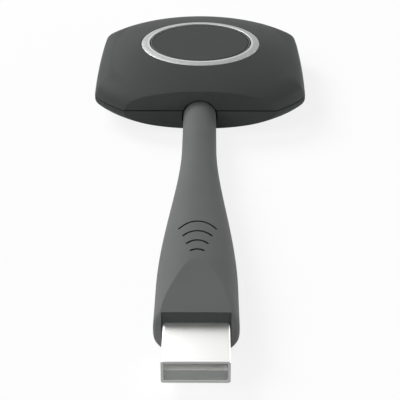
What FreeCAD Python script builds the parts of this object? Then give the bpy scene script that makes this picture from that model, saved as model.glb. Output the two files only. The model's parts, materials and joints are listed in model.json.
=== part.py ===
import FreeCAD, Part
import math
import os

from FreeCAD import Vector

# A wireless presentation dongle, in millimetres.
# The head lies flat on Z = 0 with the button's axis on the origin. +Z is up, and the plug points to -Y.

# Plan outline of the head: two flat side arcs, one back arc and one front arc
side_reach = 26.6
side_radius = 460.0
back_reach = 33.9
back_radius = 31.0
front_reach = 31.7
front_radius = 30.8
front_flat = 25.5
corner_sharpness = 200.0
crown_sharpness = 14.0
corner_fade = 3.0

# Section of the head
parting_height = 6.4
crown_height = 7.7
crown_roundness = 2.35
bowl_clearance = 0.3
bowl_flat_share = 0.56
bowl_fall_power = 2.0
bowl_round_power = 0.68
rim_band = 0.5
seam_gap = 0.24
seam_depth = 0.7
shell_wall = 1.6

# Fits
slip = 0.05
running = 0.1

# Rubber foot
pad_thickness = 0.8
pad_inset = 1.2

# Trim ring and light guide
ring_outer = 15.2
ring_land = 0.4
ring_width = 2.3
ring_thickness = 1.3
ring_rise = 0.05
ring_slope = 0.35
ring_edge = 0.1
guide_wall = 1.6
guide_lip = 0.3
guide_drop = 0.2
collar_wall = 1.2
collar_depth = 1.6

# Button
button_sink = 0.15
button_plate = 1.3
button_edge = 0.2
button_travel = 0.5
skirt_wall = 0.8
post_radius = 1.6
carrier_thickness = 1.0
carrier_gap = 0.2
carrier_bore = 3.0
carrier_leg_radius = 1.1
carrier_leg_circle = 10.4
peg_radius = 0.6
hook_count = 3
hook_circle = 8.6
hook_wall = 0.8
hook_width = 3.0
hook_catch = 0.7
return_outer = 6.4
return_inner = 4.6

# Circuit board and what is on it
board_thickness = 1.0
board_top = 6.6
board_inset = 3.6
board_front = 12.4
switch_side = 6.0
switch_height = 3.0
switch_floor = 1.8
plunger_radius = 1.6
plunger_show = 0.6
lamp_count = 12
lamp_side = 1.4
lamp_height = 0.8
lamp_gap = 0.2
radio_length = 14.0
radio_width = 8.0
radio_place = 21.6
can_height = 1.9
can_wall = 0.2
radio_chip_side = 5.0
radio_chip_height = 0.9
antenna_length = 7.0
antenna_width = 2.0
antenna_height = 1.2
antenna_spread = 13.0
antenna_place = 22.0
processor_side = 12.0
processor_height = 1.0
processor_place = 5.0
thermal_pad_height = 0.6
spreader_length = 20.0
spreader_width = 16.0
memory_length = 8.0
memory_width = 6.0
memory_height = 0.9
memory_inset = 12.2
memory_place = 4.0
crystal_length = 3.2
crystal_width = 2.5
crystal_height = 0.8
crystal_inset = 17.0
crystal_place = 14.0
inductor_side = 3.0
inductor_height = 1.6
inductor_inset = 7.7
inductor_place = 5.0
inductor_pitch = 4.0
capacitor_length = 1.6
capacitor_width = 0.8
capacitor_height = 0.8
capacitor_count = 6
capacitor_pitch = 2.0
capacitor_row = 15.4

# Screws
cover_screw_inset = 10.5
cover_screw_front = 8.6
cover_screw_back = 15.0
screw_radius = 0.95
screw_head_radius = 1.8
screw_head_height = 1.2
screw_clear = 0.15
screw_sink = 0.1
boss_wall = 1.2
cover_screw_grip = 3.6
board_screw_spread = 6.5
board_screw_place = 28.4
board_screw_length = 2.8
slot_width = 0.5
slot_depth = 0.5
slot_share = 0.65

# Stem: round neck, flare and boot
neck_axis = 4.8
neck_radius = 3.98
flare_start = 44.0
flare_length = 60.0
boot_half_width = 7.8
boot_crown = 6.5
boot_keel = 4.45
boot_front = 118.0
boot_square_start = flare_start + flare_length
boot_square_length = 14.0
boot_flat_start = 102.3
boot_flat_end_height = 4.45
boot_crown_sharpness = 2.6
boot_keel_sharpness = 3.0
boot_edge = 0.5
boot_edge_draft = 0.7
boot_front_wall = 1.0
neck_hole_gap = 0.1

# Engraved grip arcs, each with its front point and its radius
arc_places = (87.7, 91.8, 95.6, 99.1)
arc_radii = (4.6, 3.7, 2.6, 2.1)
arc_half_angles = (51.0, 47.5, 49.0, 34.5)
arc_width = 0.55
arc_depth = 0.5

# Cable inside the stem
jacket_radius = 1.9
jacket_wall = 0.4
shield_wall = 0.15
wire_radius = 0.45
wire_offset = 0.52
jacket_inner_end = 14.2
jacket_outer_end = 99.5
ferrule_wall = 0.4
ferrule_length = 4.0
grommet_half_width = 4.6
grommet_low = 2.8
grommet_high = 3.6
grommet_flange = 1.5
grommet_neck = 1.8
grommet_waist = 0.9
grommet_rib_wall = 1.0
clamp_length = 2.6
clamp_half_width = 7.0
clamp_cover = 1.1
clamp_screw_spread = 4.9
clamp_screw_radius = 0.75
clamp_screw_head = 1.3
clamp_screw_head_height = 0.7
clamp_post_radius = 1.7
clamp_back = 14.7

# Lead connector under the board
lead_plug_length = 4.6
lead_plug_half_width = 4.0
lead_plug_height = 2.3
lead_plug_front = 11.0
lead_pitch = 1.9
lead_drop = 1.25
socket_wall = 0.5
socket_depth = 2.6
socket_back_wall = 1.4

# Standard-size plug
plug_width = 12.0
plug_height = 4.5
plug_wall = 0.5
plug_corner = 0.45
plug_exposed = 11.3
plug_rear = 107.0
tongue_thickness = 1.84
tongue_set_back = 0.4
tongue_block_length = 9.5
contact_width = 1.0
contact_thickness = 0.25
contact_places = (-3.5, -1.0, 1.0, 3.5)
contact_set_back = (2.8, 3.4, 3.4, 2.8)
contact_tail = 2.0
window_width = 2.5
window_length = 1.95
window_place = 6.1
window_spread = 3.0
core_half_width = 6.4
core_half_height = 2.75
core_rear = 97.0

# Heights and places that follow from the sizes above
ring_seat = ring_outer + ring_land
crown_top = parting_height + crown_height
board_low = board_top - board_thickness
floor_low = bowl_clearance
floor_high = bowl_clearance + shell_wall
ring_top = crown_top + ring_rise
ring_low = ring_top - ring_thickness
ring_inner = ring_outer - ring_width
ring_crest = ring_top + ring_slope
guide_inner = ring_inner - slip - guide_lip
guide_outer = guide_inner + guide_wall
guide_low = board_top + lamp_height + lamp_gap
button_radius = guide_inner - running
button_top = ring_crest - button_sink
button_low = button_top - button_plate
plunger_top = board_top + switch_height + plunger_show
carrier_low = plunger_top + carrier_gap
carrier_top = carrier_low + carrier_thickness
plug_tip = boot_front + plug_exposed
cover_screw_seat = pad_thickness + screw_sink + screw_head_height
cover_screws_at = [
    (side * (side_reach - cover_screw_inset), place)
    for side in (-1, 1)
    for place in (-cover_screw_front, cover_screw_back)
]
clamp_middle = clamp_back + clamp_length / 2
lead_height = board_low - lead_drop
lead_low = lead_height - lead_plug_height / 2
ferrule_start = jacket_outer_end - ferrule_length
tongue_low = neck_axis - plug_height / 2 + plug_wall
tongue_top = tongue_low + tongue_thickness
tail_height = tongue_top + contact_thickness / 2
lamp_circle = (guide_inner + guide_outer) / 2
beyond = 60.0


def box(x, y, z):
    return Part.makeBox(x[1] - x[0], y[1] - y[0], z[1] - z[0], Vector(x[0], y[0], z[0]))


def centred_box(x, y, length, width, low, high):
    return box((x - length / 2, x + length / 2), (y - width / 2, y + width / 2), (low, high))


def post(radius, low, high, x=0.0, y=0.0):
    return Part.makeCylinder(radius, high - low, Vector(x, y, low))


def rod(radius, start, end, x=0.0, z=neck_axis):
    """Round bar along the stem, from one distance in front of the button to another."""
    return Part.makeCylinder(radius, end - start, Vector(x, -start, z), Vector(0, -1, 0))


def tube(outer, inner, low, high, x=0.0, y=0.0):
    return post(outer, low, high, x, y).cut(post(inner, low, high, x, y))


def joined(solids):
    return solids[0].fuse(solids[1:])


def group(solids):
    return Part.makeCompound(solids)


def closed_curve(points):
    """Smooth closed wire through points that are evenly numbered round the curve."""
    count = len(points)
    curve = Part.BSplineCurve()
    steps = [index / count for index in range(count + 1)]
    curve.interpolate(Points=points, PeriodicFlag=True, Parameters=steps)
    return Part.Wire([curve.toShape()])


# Plan outline of the head

def arc_distance(turn, reach, radius):
    """Distance from the button's axis to an arc whose far point is at turn zero."""
    centre = reach - radius
    return centre * math.cos(turn) + math.sqrt(radius ** 2 - (centre * math.sin(turn)) ** 2)


def side_distance(angle):
    turn = math.acos(min(1.0, abs(math.cos(angle))))
    return arc_distance(turn, side_reach, side_radius)


def end_distance(angle):
    if math.sin(angle) >= 0:
        return arc_distance(math.pi / 2 - angle, back_reach, back_radius)
    return arc_distance(math.pi / 2 + angle, front_reach, front_radius)


def corner_angle(end):
    """Angle from the X axis at which a side arc meets the back arc (end 1) or the front arc (end -1)."""
    low, high = math.radians(10), math.radians(80)
    for _ in range(40):
        middle = (low + high) / 2
        if side_distance(end * middle) < end_distance(end * middle):
            low = middle
        else:
            high = middle
    return low


def outline_angles(count=9, crowding=2.1):
    """Angles round the outline, crowded towards its four corners."""
    shares = [1 - (1 - index / count) ** crowding for index in range(count)]
    back = corner_angle(1)
    front = corner_angle(-1)
    quarter = math.pi / 2
    back_quarter = [back * share for share in shares] + [back]
    back_quarter += [quarter - (quarter - back) * share for share in reversed(shares[1:])]
    front_quarter = [-quarter + (quarter - front) * share for share in shares] + [-front]
    front_quarter += [-front * share for share in reversed(shares[1:])]
    right = front_quarter + back_quarter
    left = [math.pi - angle for angle in reversed(right)]
    return right + [quarter] + left[:-1]


angles = outline_angles()


def outline_distance(angle, sharpness):
    near, far = side_distance(angle), end_distance(angle)
    return (near ** -sharpness + far ** -sharpness) ** (-1 / sharpness)


def head_curve(height, blend, inset=0.0):
    """Level curve of the head, from its outline at blend 0 to the ring's circle at blend 1."""
    sharpness = corner_sharpness + (crown_sharpness - corner_sharpness) * min(1.0, corner_fade * blend)
    points = []
    for angle in angles:
        radius = (outline_distance(angle, sharpness) - inset) * (1 - blend) + ring_seat * blend
        points.append(Vector(radius * math.cos(angle), radius * math.sin(angle), height))
    return closed_curve(points)


def bowl_curve(height, share, inset=0.0):
    """Level curve of the bottom, which is the outline times a share."""
    points = []
    for angle in angles:
        radius = (outline_distance(angle, corner_sharpness) - inset) * share
        points.append(Vector(radius * math.cos(angle), radius * math.sin(angle), height))
    return closed_curve(points)


def crown_solid(inset, drop):
    """Upper half of the head, moved in by an inset at its rim and down by a drop at its top."""
    levels = (0.0, 0.08, 0.18, 0.3, 0.44, 0.58, 0.72, 0.86, 1.0)
    curves = [
        head_curve(parting_height + (crown_height - drop) * level, level ** crown_roundness, inset)
        for level in levels
    ]
    return Part.makeLoft(curves, True, False)


def bowl_solid(inset, rise):
    """Lower half of the head, moved in by an inset at its rim and up by a rise at its floor."""
    top = parting_height - rim_band
    depth = top - bowl_clearance - rise
    curves = [bowl_curve(parting_height, 1.0, inset)]
    for level in (0.0, 0.16, 0.34, 0.52, 0.7, 0.85, 0.95, 1.0):
        fullness = (1 - level ** bowl_fall_power) ** bowl_round_power
        share = bowl_flat_share + (1 - bowl_flat_share) * fullness
        curves.append(bowl_curve(top - depth * level, share, inset))
    return Part.makeLoft(curves, True, False)


def behind_front(inset):
    """Space behind the flat front of the head."""
    return box((-beyond, beyond), (-front_flat + inset, beyond), (-beyond, beyond))


def head_plate(low, high, inset):
    """Flat plate with the outline of the head."""
    curve = bowl_curve(low, 1.0, inset)
    return Part.Face(curve).extrude(Vector(0, 0, high - low))


# Head covers

def neck_hole():
    """Round hole for the stem through the front wall."""
    return rod(neck_radius + neck_hole_gap, front_flat - shell_wall - slip, front_flat + 1)


def top_cover():
    outer = crown_solid(0.0, 0.0).common(behind_front(0.0))
    cavity = crown_solid(shell_wall, shell_wall).common(behind_front(shell_wall))
    guide_bore = guide_outer + slip
    collar_low = ring_low - collar_depth
    parts = [outer.cut(cavity), tube(guide_bore + collar_wall, guide_bore, collar_low, ring_low)]
    for x, y in cover_screws_at:
        parts.append(post(screw_radius + boss_wall, board_top, crown_top, x, y).common(outer))
    parts.append(grommet_rib(parting_height, crown_top).common(outer))
    cover = joined(parts)
    cover = cover.cut(post(ring_outer + slip, ring_low, beyond))
    cover = cover.cut(post(guide_bore, collar_low - 1, beyond))
    for x, y in cover_screws_at:
        cover = cover.cut(post(screw_radius + slip / 2, board_top, board_top + cover_screw_grip, x, y))
    cover = cover.cut(box((-beyond, beyond), (-beyond, beyond), (0, parting_height + seam_gap / 2)))
    cover = cover.cut(neck_hole())
    return cover.cut(grommet_block(slip))


def grommet_block(growth):
    """Two flanges and a thinner waist, which the ribs of both covers hold between them."""
    start = front_flat - shell_wall - slip
    low, high = neck_axis - grommet_low, neck_axis + grommet_high
    waist_start = start - grommet_flange
    waist_end = waist_start - grommet_neck
    end = waist_end - grommet_flange
    blocks = []
    for near, far, inset in (
        (end, waist_end, 0.0),
        (waist_end, waist_start, grommet_waist),
        (waist_start, start, 0.0),
    ):
        half = grommet_half_width - inset + growth
        lengthening = growth if inset == 0 else -growth
        blocks.append(box(
            (-half, half),
            (-far - lengthening, -near + lengthening),
            (low + inset - growth, high - inset + growth),
        ))
    return joined(blocks)


def grommet_rib(low, high):
    """Cross wall that fills the grommet's waist."""
    middle = front_flat - shell_wall - slip - grommet_flange - grommet_neck / 2
    width = 2 * (grommet_half_width + grommet_rib_wall)
    return centred_box(0, -middle, width, grommet_neck - 2 * slip, low, high)


def seam_lip():
    """Narrow step that stands inside the seam between the covers, round the sides and across the front."""
    low, high = parting_height - seam_gap / 2, parting_height + seam_gap / 2
    outer = head_plate(low, high, seam_depth).common(behind_front(seam_depth))
    inner = head_plate(low, high, shell_wall).common(behind_front(shell_wall))
    return outer.cut(inner)


def bottom_bosses():
    """Bosses for the cover screws, the board screws and the clamp screws."""
    bosses = []
    for x, y in cover_screws_at:
        bosses.append(post(screw_head_radius + screw_clear + boss_wall, floor_low, board_low, x, y))
    for side in (-1, 1):
        x = side * board_screw_spread
        bosses.append(post(screw_radius + boss_wall, floor_low, board_low, x, board_screw_place))
        x = side * clamp_screw_spread
        bosses.append(post(clamp_post_radius, floor_low, neck_axis, x, -clamp_middle))
    return bosses


def bottom_screw_holes():
    holes = []
    for x, y in cover_screws_at:
        holes.append(post(screw_head_radius + screw_clear, floor_low - 1, cover_screw_seat, x, y))
        holes.append(post(screw_radius + screw_clear, floor_low - 1, board_low + 1, x, y))
    for side in (-1, 1):
        x = side * board_screw_spread
        hole_low = board_top - board_screw_length
        holes.append(post(screw_radius + slip / 2, hole_low, board_low, x, board_screw_place))
        x = side * clamp_screw_spread
        holes.append(post(clamp_screw_radius + slip / 2, floor_high, neck_axis, x, -clamp_middle))
    return holes


def bottom_cover():
    outer = bowl_solid(0.0, 0.0).common(behind_front(0.0))
    cavity = bowl_solid(shell_wall, shell_wall).common(behind_front(shell_wall))
    shell = outer.cut(cavity)
    shell = shell.cut(head_plate(parting_height - seam_gap / 2, parting_height, 0.0))
    parts = [shell, seam_lip(), grommet_rib(floor_low, parting_height).common(outer)]
    parts += [boss.common(outer) for boss in bottom_bosses()]
    cover = joined(parts)
    for hole in bottom_screw_holes():
        cover = cover.cut(hole)
    cover = cover.cut(pad_plate(slip))
    cover = cover.cut(neck_hole())
    return cover.cut(grommet_block(slip))


def pad_plate(growth):
    share = bowl_flat_share
    points = []
    for angle in angles:
        radius = outline_distance(angle, corner_sharpness) * share - pad_inset + growth
        points.append(Vector(radius * math.cos(angle), radius * math.sin(angle), 0))
    return Part.Face(closed_curve(points)).extrude(Vector(0, 0, pad_thickness))


def base_pad():
    return pad_plate(0.0)


# Ring, light guide and button

def turned(profile):
    """Ring turned round the button's axis from points given as (radius, height)."""
    corners = [Vector(radius, 0, height) for radius, height in profile]
    face = Part.Face(Part.makePolygon(corners + corners[:1]))
    return face.revolve(Vector(0, 0, 0), Vector(0, 0, 1), 360)


def trim_ring():
    return turned((
        (ring_inner, ring_low),
        (ring_outer, ring_low),
        (ring_outer, ring_top - ring_edge),
        (ring_outer - ring_edge, ring_top),
        (ring_inner + ring_edge, ring_crest),
        (ring_inner, ring_crest - ring_edge),
    ))


def light_guide():
    shelf = ring_low - slip
    return turned((
        (guide_inner, guide_low),
        (guide_outer, guide_low),
        (guide_outer, shelf),
        (guide_inner + guide_lip, shelf),
        (guide_inner + guide_lip, ring_crest - guide_drop),
        (guide_inner, ring_crest - guide_drop),
    ))


def hook_turns():
    return [360 * index / hook_count for index in range(hook_count)]


def button_cap():
    skirt_low = carrier_top + button_travel + carrier_gap
    plate = turned((
        (0, button_low),
        (button_radius, button_low),
        (button_radius, button_top - button_edge),
        (button_radius - button_edge, button_top),
        (0, button_top),
    ))
    skirt = tube(button_radius, button_radius - skirt_wall, skirt_low, button_low)
    centre = post(post_radius, plunger_top + slip, button_low)
    parts = [plate, skirt, centre]
    across = (-hook_width / 2, hook_width / 2)
    catch_top = carrier_low - slip
    catch_low = catch_top - hook_catch
    hook = box((hook_circle - hook_wall, hook_circle), across, (catch_low, button_low))
    catch = box((hook_circle, hook_circle + hook_catch), across, (catch_low, catch_top))
    for turn in hook_turns():
        parts.append(hook.fuse(catch).rotated(Vector(0, 0, 0), Vector(0, 0, 1), turn))
    return joined(parts)


def carrier_legs_at():
    angles_between = [math.radians(turn + 180 / hook_count) for turn in hook_turns()]
    return [
        (carrier_leg_circle * math.cos(angle), carrier_leg_circle * math.sin(angle))
        for angle in angles_between
    ]


def button_carrier():
    parts = [tube(guide_inner - carrier_gap, carrier_bore, carrier_low, carrier_top)]
    for x, y in carrier_legs_at():
        parts.append(post(carrier_leg_radius, board_top, carrier_low, x, y))
        parts.append(post(peg_radius, board_low, board_top, x, y))
    carrier = joined(parts)
    slot = box(
        (hook_circle - hook_wall - carrier_gap, hook_circle + hook_catch / 2),
        (-hook_width / 2 - carrier_gap, hook_width / 2 + carrier_gap),
        (carrier_low - 1, carrier_top + 1),
    )
    for turn in hook_turns():
        carrier = carrier.cut(slot.rotated(Vector(0, 0, 0), Vector(0, 0, 1), turn))
    return carrier


def return_ring():
    return tube(return_outer, return_inner, carrier_top, button_low)


def switch_body():
    body = centred_box(0, 0, switch_side, switch_side, board_top, board_top + switch_height)
    return body.cut(post(plunger_radius + running, board_top + switch_floor, board_top + switch_height))


def switch_plunger():
    low = board_top + switch_floor + button_travel + slip
    return post(plunger_radius, low, plunger_top)


# Circuit board

def main_board():
    board = head_plate(board_low, board_top, board_inset)
    board = board.common(box((-beyond, beyond), (-board_front, beyond), (board_low, board_top)))
    for x, y in cover_screws_at:
        board = board.cut(post(screw_radius + screw_clear, board_low, board_top, x, y))
    for side in (-1, 1):
        x = side * board_screw_spread
        board = board.cut(post(screw_radius + screw_clear, board_low, board_top, x, board_screw_place))
    for x, y in carrier_legs_at():
        board = board.cut(post(peg_radius + slip, board_low, board_top, x, y))
    return board


def led_lights():
    lamp = centred_box(lamp_circle, 0, lamp_side, lamp_side, board_top, board_top + lamp_height)
    step = 360 / lamp_count
    turns = [step * (index + 0.5) for index in range(lamp_count)]
    return group([lamp.rotated(Vector(0, 0, 0), Vector(0, 0, 1), turn) for turn in turns])


def radio_shield():
    can = centred_box(0, radio_place, radio_length, radio_width, board_top, board_top + can_height)
    inner = centred_box(
        0, radio_place, radio_length - 2 * can_wall, radio_width - 2 * can_wall,
        board_top, board_top + can_height - can_wall,
    )
    return can.cut(inner)


def radio_chip():
    return centred_box(
        0, radio_place, radio_chip_side, radio_chip_side, board_top, board_top + radio_chip_height
    )


def antennas():
    top = board_top + antenna_height
    return group([
        centred_box(side * antenna_spread, antenna_place, antenna_width, antenna_length, board_top, top)
        for side in (-1, 1)
    ])


def processor_chip():
    return centred_box(
        0, processor_place, processor_side, processor_side, board_low - processor_height, board_low
    )


def thermal_pad():
    top = board_low - processor_height
    return centred_box(0, processor_place, processor_side, processor_side, top - thermal_pad_height, top)


def heat_spreader():
    top = board_low - processor_height - thermal_pad_height
    return centred_box(0, processor_place, spreader_length, spreader_width, floor_high, top)


def memory_chips():
    x = side_reach - memory_inset
    low = board_low - memory_height
    return group([
        centred_box(side * x, memory_place, memory_width, memory_length, low, board_low)
        for side in (-1, 1)
    ])


def clock_crystal():
    x = side_reach - crystal_inset
    return centred_box(x, crystal_place, crystal_length, crystal_width, board_low - crystal_height, board_low)


def power_inductors():
    x = side_reach - inductor_inset
    top = board_top + inductor_height
    places = [inductor_place - inductor_pitch / 2, inductor_place + inductor_pitch / 2]
    return group([centred_box(x, y, inductor_side, inductor_side, board_top, top) for y in places])


def capacitors():
    top = board_top + capacitor_height
    first = -capacitor_pitch * (capacitor_count - 1) / 2
    row = [first + index * capacitor_pitch for index in range(capacitor_count)]
    return group([
        centred_box(x, capacitor_row, capacitor_width, capacitor_length, board_top, top) for x in row
    ])


# Screws

def screw(radius, head_radius, head_height, length, x, y, z, up):
    """Screw whose head's under face is at z, pointing up or down, with a cross slot in its head."""
    if up:
        solid = post(head_radius, z - head_height, z, x, y).fuse(post(radius, z, z + length, x, y))
        slot_low, slot_high = z - head_height, z - head_height + slot_depth
    else:
        solid = post(head_radius, z, z + head_height, x, y).fuse(post(radius, z - length, z, x, y))
        slot_low, slot_high = z + head_height - slot_depth, z + head_height
    reach = 2 * head_radius * slot_share
    for length_x, length_y in ((reach, slot_width), (slot_width, reach)):
        solid = solid.cut(centred_box(x, y, length_x, length_y, slot_low, slot_high))
    return solid.removeSplitter()


def cover_screws():
    length = board_top + cover_screw_grip - cover_screw_seat
    return group([
        screw(screw_radius, screw_head_radius, screw_head_height, length, x, y, cover_screw_seat, True)
        for x, y in cover_screws_at
    ])


def board_screws():
    return group([
        screw(screw_radius, screw_head_radius, screw_head_height, board_screw_length,
              side * board_screw_spread, board_screw_place, board_top, False)
        for side in (-1, 1)
    ])


# Cable entry of the head

def neck_grommet():
    start = front_flat - shell_wall
    return grommet_block(0.0).cut(rod(jacket_radius + running, start / 2, start + 1))


def cable_clamp():
    top = neck_axis + jacket_radius + clamp_cover
    bar = box(
        (-clamp_half_width, clamp_half_width), (-clamp_back - clamp_length, -clamp_back), (neck_axis, top)
    )
    bar = bar.cut(rod(jacket_radius + running, clamp_back - 1, clamp_back + clamp_length + 1))
    for side in (-1, 1):
        hole = post(clamp_screw_radius + slip, neck_axis, top, side * clamp_screw_spread, -clamp_middle)
        bar = bar.cut(hole)
    return bar


def clamp_screws():
    top = neck_axis + jacket_radius + clamp_cover
    length = top - floor_high
    return group([
        screw(clamp_screw_radius, clamp_screw_head, clamp_screw_head_height, length,
              side * clamp_screw_spread, -clamp_middle, top, False)
        for side in (-1, 1)
    ])


def lead_plug():
    start = lead_plug_front
    block = box(
        (-lead_plug_half_width, lead_plug_half_width),
        (-start, -start + lead_plug_length),
        (lead_low, lead_low + lead_plug_height),
    )
    for place in lead_places():
        bore = rod(wire_radius + slip, start - lead_plug_length / 2, start + 1, place, lead_height)
        block = block.cut(bore)
    return block


def lead_places():
    """Sideways places of the four wires in their connector."""
    return [lead_pitch * step for step in (-1.5, -0.5, 0.5, 1.5)]


def lead_socket():
    back = -lead_plug_front + lead_plug_length
    front = back - socket_depth
    half = lead_plug_half_width + slip
    low = lead_low - slip
    block = box(
        (-half - socket_wall, half + socket_wall),
        (front, back + slip + socket_back_wall),
        (low - socket_wall, board_low),
    )
    return block.cut(box((-half, half), (front, back + slip), (low, board_low)))


# Stem

def smooth(share):
    share = min(1.0, max(0.0, share))
    return share * share * (3 - 2 * share)


def stem_section(distance, shrink=0.0, count=40):
    """Closed section of the stem at a distance in front of the button's axis."""
    flare = smooth((distance - flare_start) / flare_length)
    square = smooth((distance - boot_square_start) / boot_square_length)
    half_width = neck_radius + (boot_half_width - neck_radius) * flare - shrink
    crown = neck_radius + (boot_crown - neck_radius) * flare - shrink
    keel = neck_radius + (boot_keel - neck_radius) * flare - shrink
    crown_power = 2 + (boot_crown_sharpness - 2) * square
    keel_power = 2 + (boot_keel_sharpness - 2) * flare
    points = []
    for index in range(count):
        angle = 2 * math.pi * (index + 0.5) / count
        across, up = math.cos(angle), math.sin(angle)
        power = crown_power if up > 0 else keel_power
        height = crown if up > 0 else keel
        reach = (abs(across) ** power + abs(up) ** power) ** (-1 / power)
        points.append(Vector(half_width * across * reach, -distance, neck_axis + height * up * reach))
    return closed_curve(points)


def stem_solid(shrink=0.0):
    start = front_flat - shell_wall
    stations = [start, (start + flare_start) / 2, flare_start]
    stations += [flare_start + flare_length * share for share in (0.15, 0.3, 0.45, 0.6, 0.75, 0.9)]
    edge_start = boot_front - boot_edge
    stations += [boot_square_start, (boot_square_start + edge_start) / 2, edge_start]
    stem = Part.makeLoft([stem_section(distance, shrink) for distance in stations], True, False)
    ends = [stem_section(edge_start, shrink), stem_section(boot_front, shrink + boot_edge * boot_edge_draft)]
    return stem.fuse(Part.makeLoft(ends, True, True))


def boot_flat_cut():
    """Wedge above the flat top facet of the boot."""
    high = neck_axis + boot_crown
    low = neck_axis + boot_flat_end_height
    run = boot_front - boot_flat_start
    rise = high - low
    start, end = -boot_flat_start + run, -boot_front - run
    corners = [
        Vector(-beyond, start, high + rise),
        Vector(-beyond, end, low - rise),
        Vector(-beyond, end, beyond),
        Vector(-beyond, start, beyond),
    ]
    return Part.Face(Part.makePolygon(corners + corners[:1])).extrude(Vector(2 * beyond, 0, 0))


def grip_arcs():
    """Upright arc-shaped walls that engrave the stem down to the arcs' depth."""
    cutters = []
    for place, radius, half_angle in zip(arc_places, arc_radii, arc_half_angles):
        centre_y = -(place + radius)
        wall = tube(radius + arc_width / 2, radius - arc_width / 2, neck_axis, beyond, 0, centre_y)
        reach = 2 * radius
        spread = reach * math.tan(math.radians(half_angle))
        corners = [
            Vector(0, centre_y, 0),
            Vector(spread, centre_y + reach, 0),
            Vector(-spread, centre_y + reach, 0),
        ]
        wedge = Part.Face(Part.makePolygon(corners + corners[:1])).extrude(Vector(0, 0, beyond))
        cutters.append(wall.common(wedge))
    return group(cutters).cut(stem_solid(arc_depth))


def plug_core_block():
    return box(
        (-core_half_width, core_half_width),
        (-(boot_front - boot_front_wall), -core_rear),
        (neck_axis - core_half_height, neck_axis + core_half_height),
    )


def stem_sleeve():
    sleeve = stem_solid().cut(boot_flat_cut())
    sleeve = sleeve.cut(grip_arcs())
    start = front_flat - shell_wall
    sleeve = sleeve.cut(rod(jacket_radius + slip, start - 1, core_rear + 1))
    sleeve = sleeve.cut(rod(jacket_radius + ferrule_wall + slip, ferrule_start - slip, core_rear + 1))
    sleeve = sleeve.cut(plug_core_block())
    return sleeve.cut(shell_bar(boot_front - boot_front_wall - 1, boot_front + 1, 0.0))


# Cable inside the stem

def cable_jacket():
    outer = rod(jacket_radius, jacket_inner_end, jacket_outer_end)
    return outer.cut(rod(jacket_radius - jacket_wall, jacket_inner_end, jacket_outer_end))


def cable_shield():
    outer = rod(jacket_radius - jacket_wall, jacket_inner_end, jacket_outer_end)
    return outer.cut(rod(jacket_radius - jacket_wall - shield_wall, jacket_inner_end, jacket_outer_end))


def cable_ferrule():
    outer = rod(jacket_radius + ferrule_wall, ferrule_start, jacket_outer_end)
    return outer.cut(rod(jacket_radius, ferrule_start, jacket_outer_end))


def bent_wire(points):
    """Wire along straight runs, rounded at each bend."""
    pieces = []
    for start, end in zip(points, points[1:]):
        run = end - start
        pieces.append(Part.makeCylinder(wire_radius, run.Length, start, run))
    for corner in points[1:-1]:
        pieces.append(Part.makeSphere(wire_radius, corner))
    return joined(pieces)


def conductors():
    """Four insulated wires from the lead connector, through the cable, to the contacts' tails."""
    lead_end = lead_plug_front - lead_plug_length / 2
    tail_end = plug_rear - contact_tail
    offsets = ((-1, -1), (-1, 1), (1, 1), (1, -1))
    wires = []
    for place, tail, (across, up) in zip(lead_places(), contact_places, offsets):
        x, z = across * wire_offset, neck_axis + up * wire_offset
        wires.append(bent_wire([
            Vector(place, -lead_end, lead_height),
            Vector(place, -lead_plug_front - wire_radius, lead_height),
            Vector(x, -jacket_inner_end + wire_radius, z),
            Vector(x, -jacket_outer_end, z),
            Vector(tail, -tail_end + 2 * wire_radius, tail_height),
            Vector(tail, -tail_end, tail_height),
        ]))
    return group(wires)


# Plug

def shell_bar(start, end, inset):
    """Rounded bar of the plug's section between two distances, moved in by an inset."""
    half_width, half_height = plug_width / 2 - inset, plug_height / 2 - inset
    bar = box((-half_width, half_width), (-end, -start), (neck_axis - half_height, neck_axis + half_height))
    along = [edge for edge in bar.Edges if abs(edge.tangentAt(edge.FirstParameter).y) > 0.9]
    return bar.makeFillet(max(plug_corner - inset, 0.1), along)


def plug_shell():
    shell = shell_bar(plug_rear, plug_tip, 0.0).cut(shell_bar(plug_rear - 1, plug_tip + 1, plug_wall))
    for side in (-1, 1):
        x = side * window_spread
        y = -(plug_tip - window_place)
        low = neck_axis - plug_height / 2
        shell = shell.cut(centred_box(x, y, window_width, window_length, low - 1, low + plug_wall + slip))
    return shell


def plug_tongue():
    block = shell_bar(plug_rear, plug_rear + tongue_block_length, plug_wall)
    half = plug_width / 2 - plug_wall - slip
    blade = box((-half, half), (-(plug_tip - tongue_set_back), -plug_rear), (tongue_low, tongue_top))
    tongue = block.fuse(blade).removeSplitter()
    for bar in contact_bars():
        tongue = tongue.cut(bar)
    return tongue


def contact_bars():
    bars = []
    for x, set_back in zip(contact_places, contact_set_back):
        bars.append(box(
            (x - contact_width / 2, x + contact_width / 2),
            (-(plug_tip - tongue_set_back - set_back), -(plug_rear - contact_tail)),
            (tongue_top, tongue_top + contact_thickness),
        ))
    return bars


def plug_contacts():
    return group(contact_bars())


def plug_core():
    """Hard inner moulding that grips the ferrule and the back of the plug, with room for the wires."""
    core = plug_core_block()
    core = core.cut(shell_bar(plug_rear, boot_front, 0.0))
    core = core.cut(rod(jacket_radius + ferrule_wall, core_rear - 1, jacket_outer_end))
    half_width = contact_places[-1] + contact_width
    half_height = plug_height / 2
    room = box(
        (-half_width, half_width),
        (-plug_rear, -jacket_outer_end),
        (neck_axis - half_height, neck_axis + half_height),
    )
    return core.cut(room)


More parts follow.
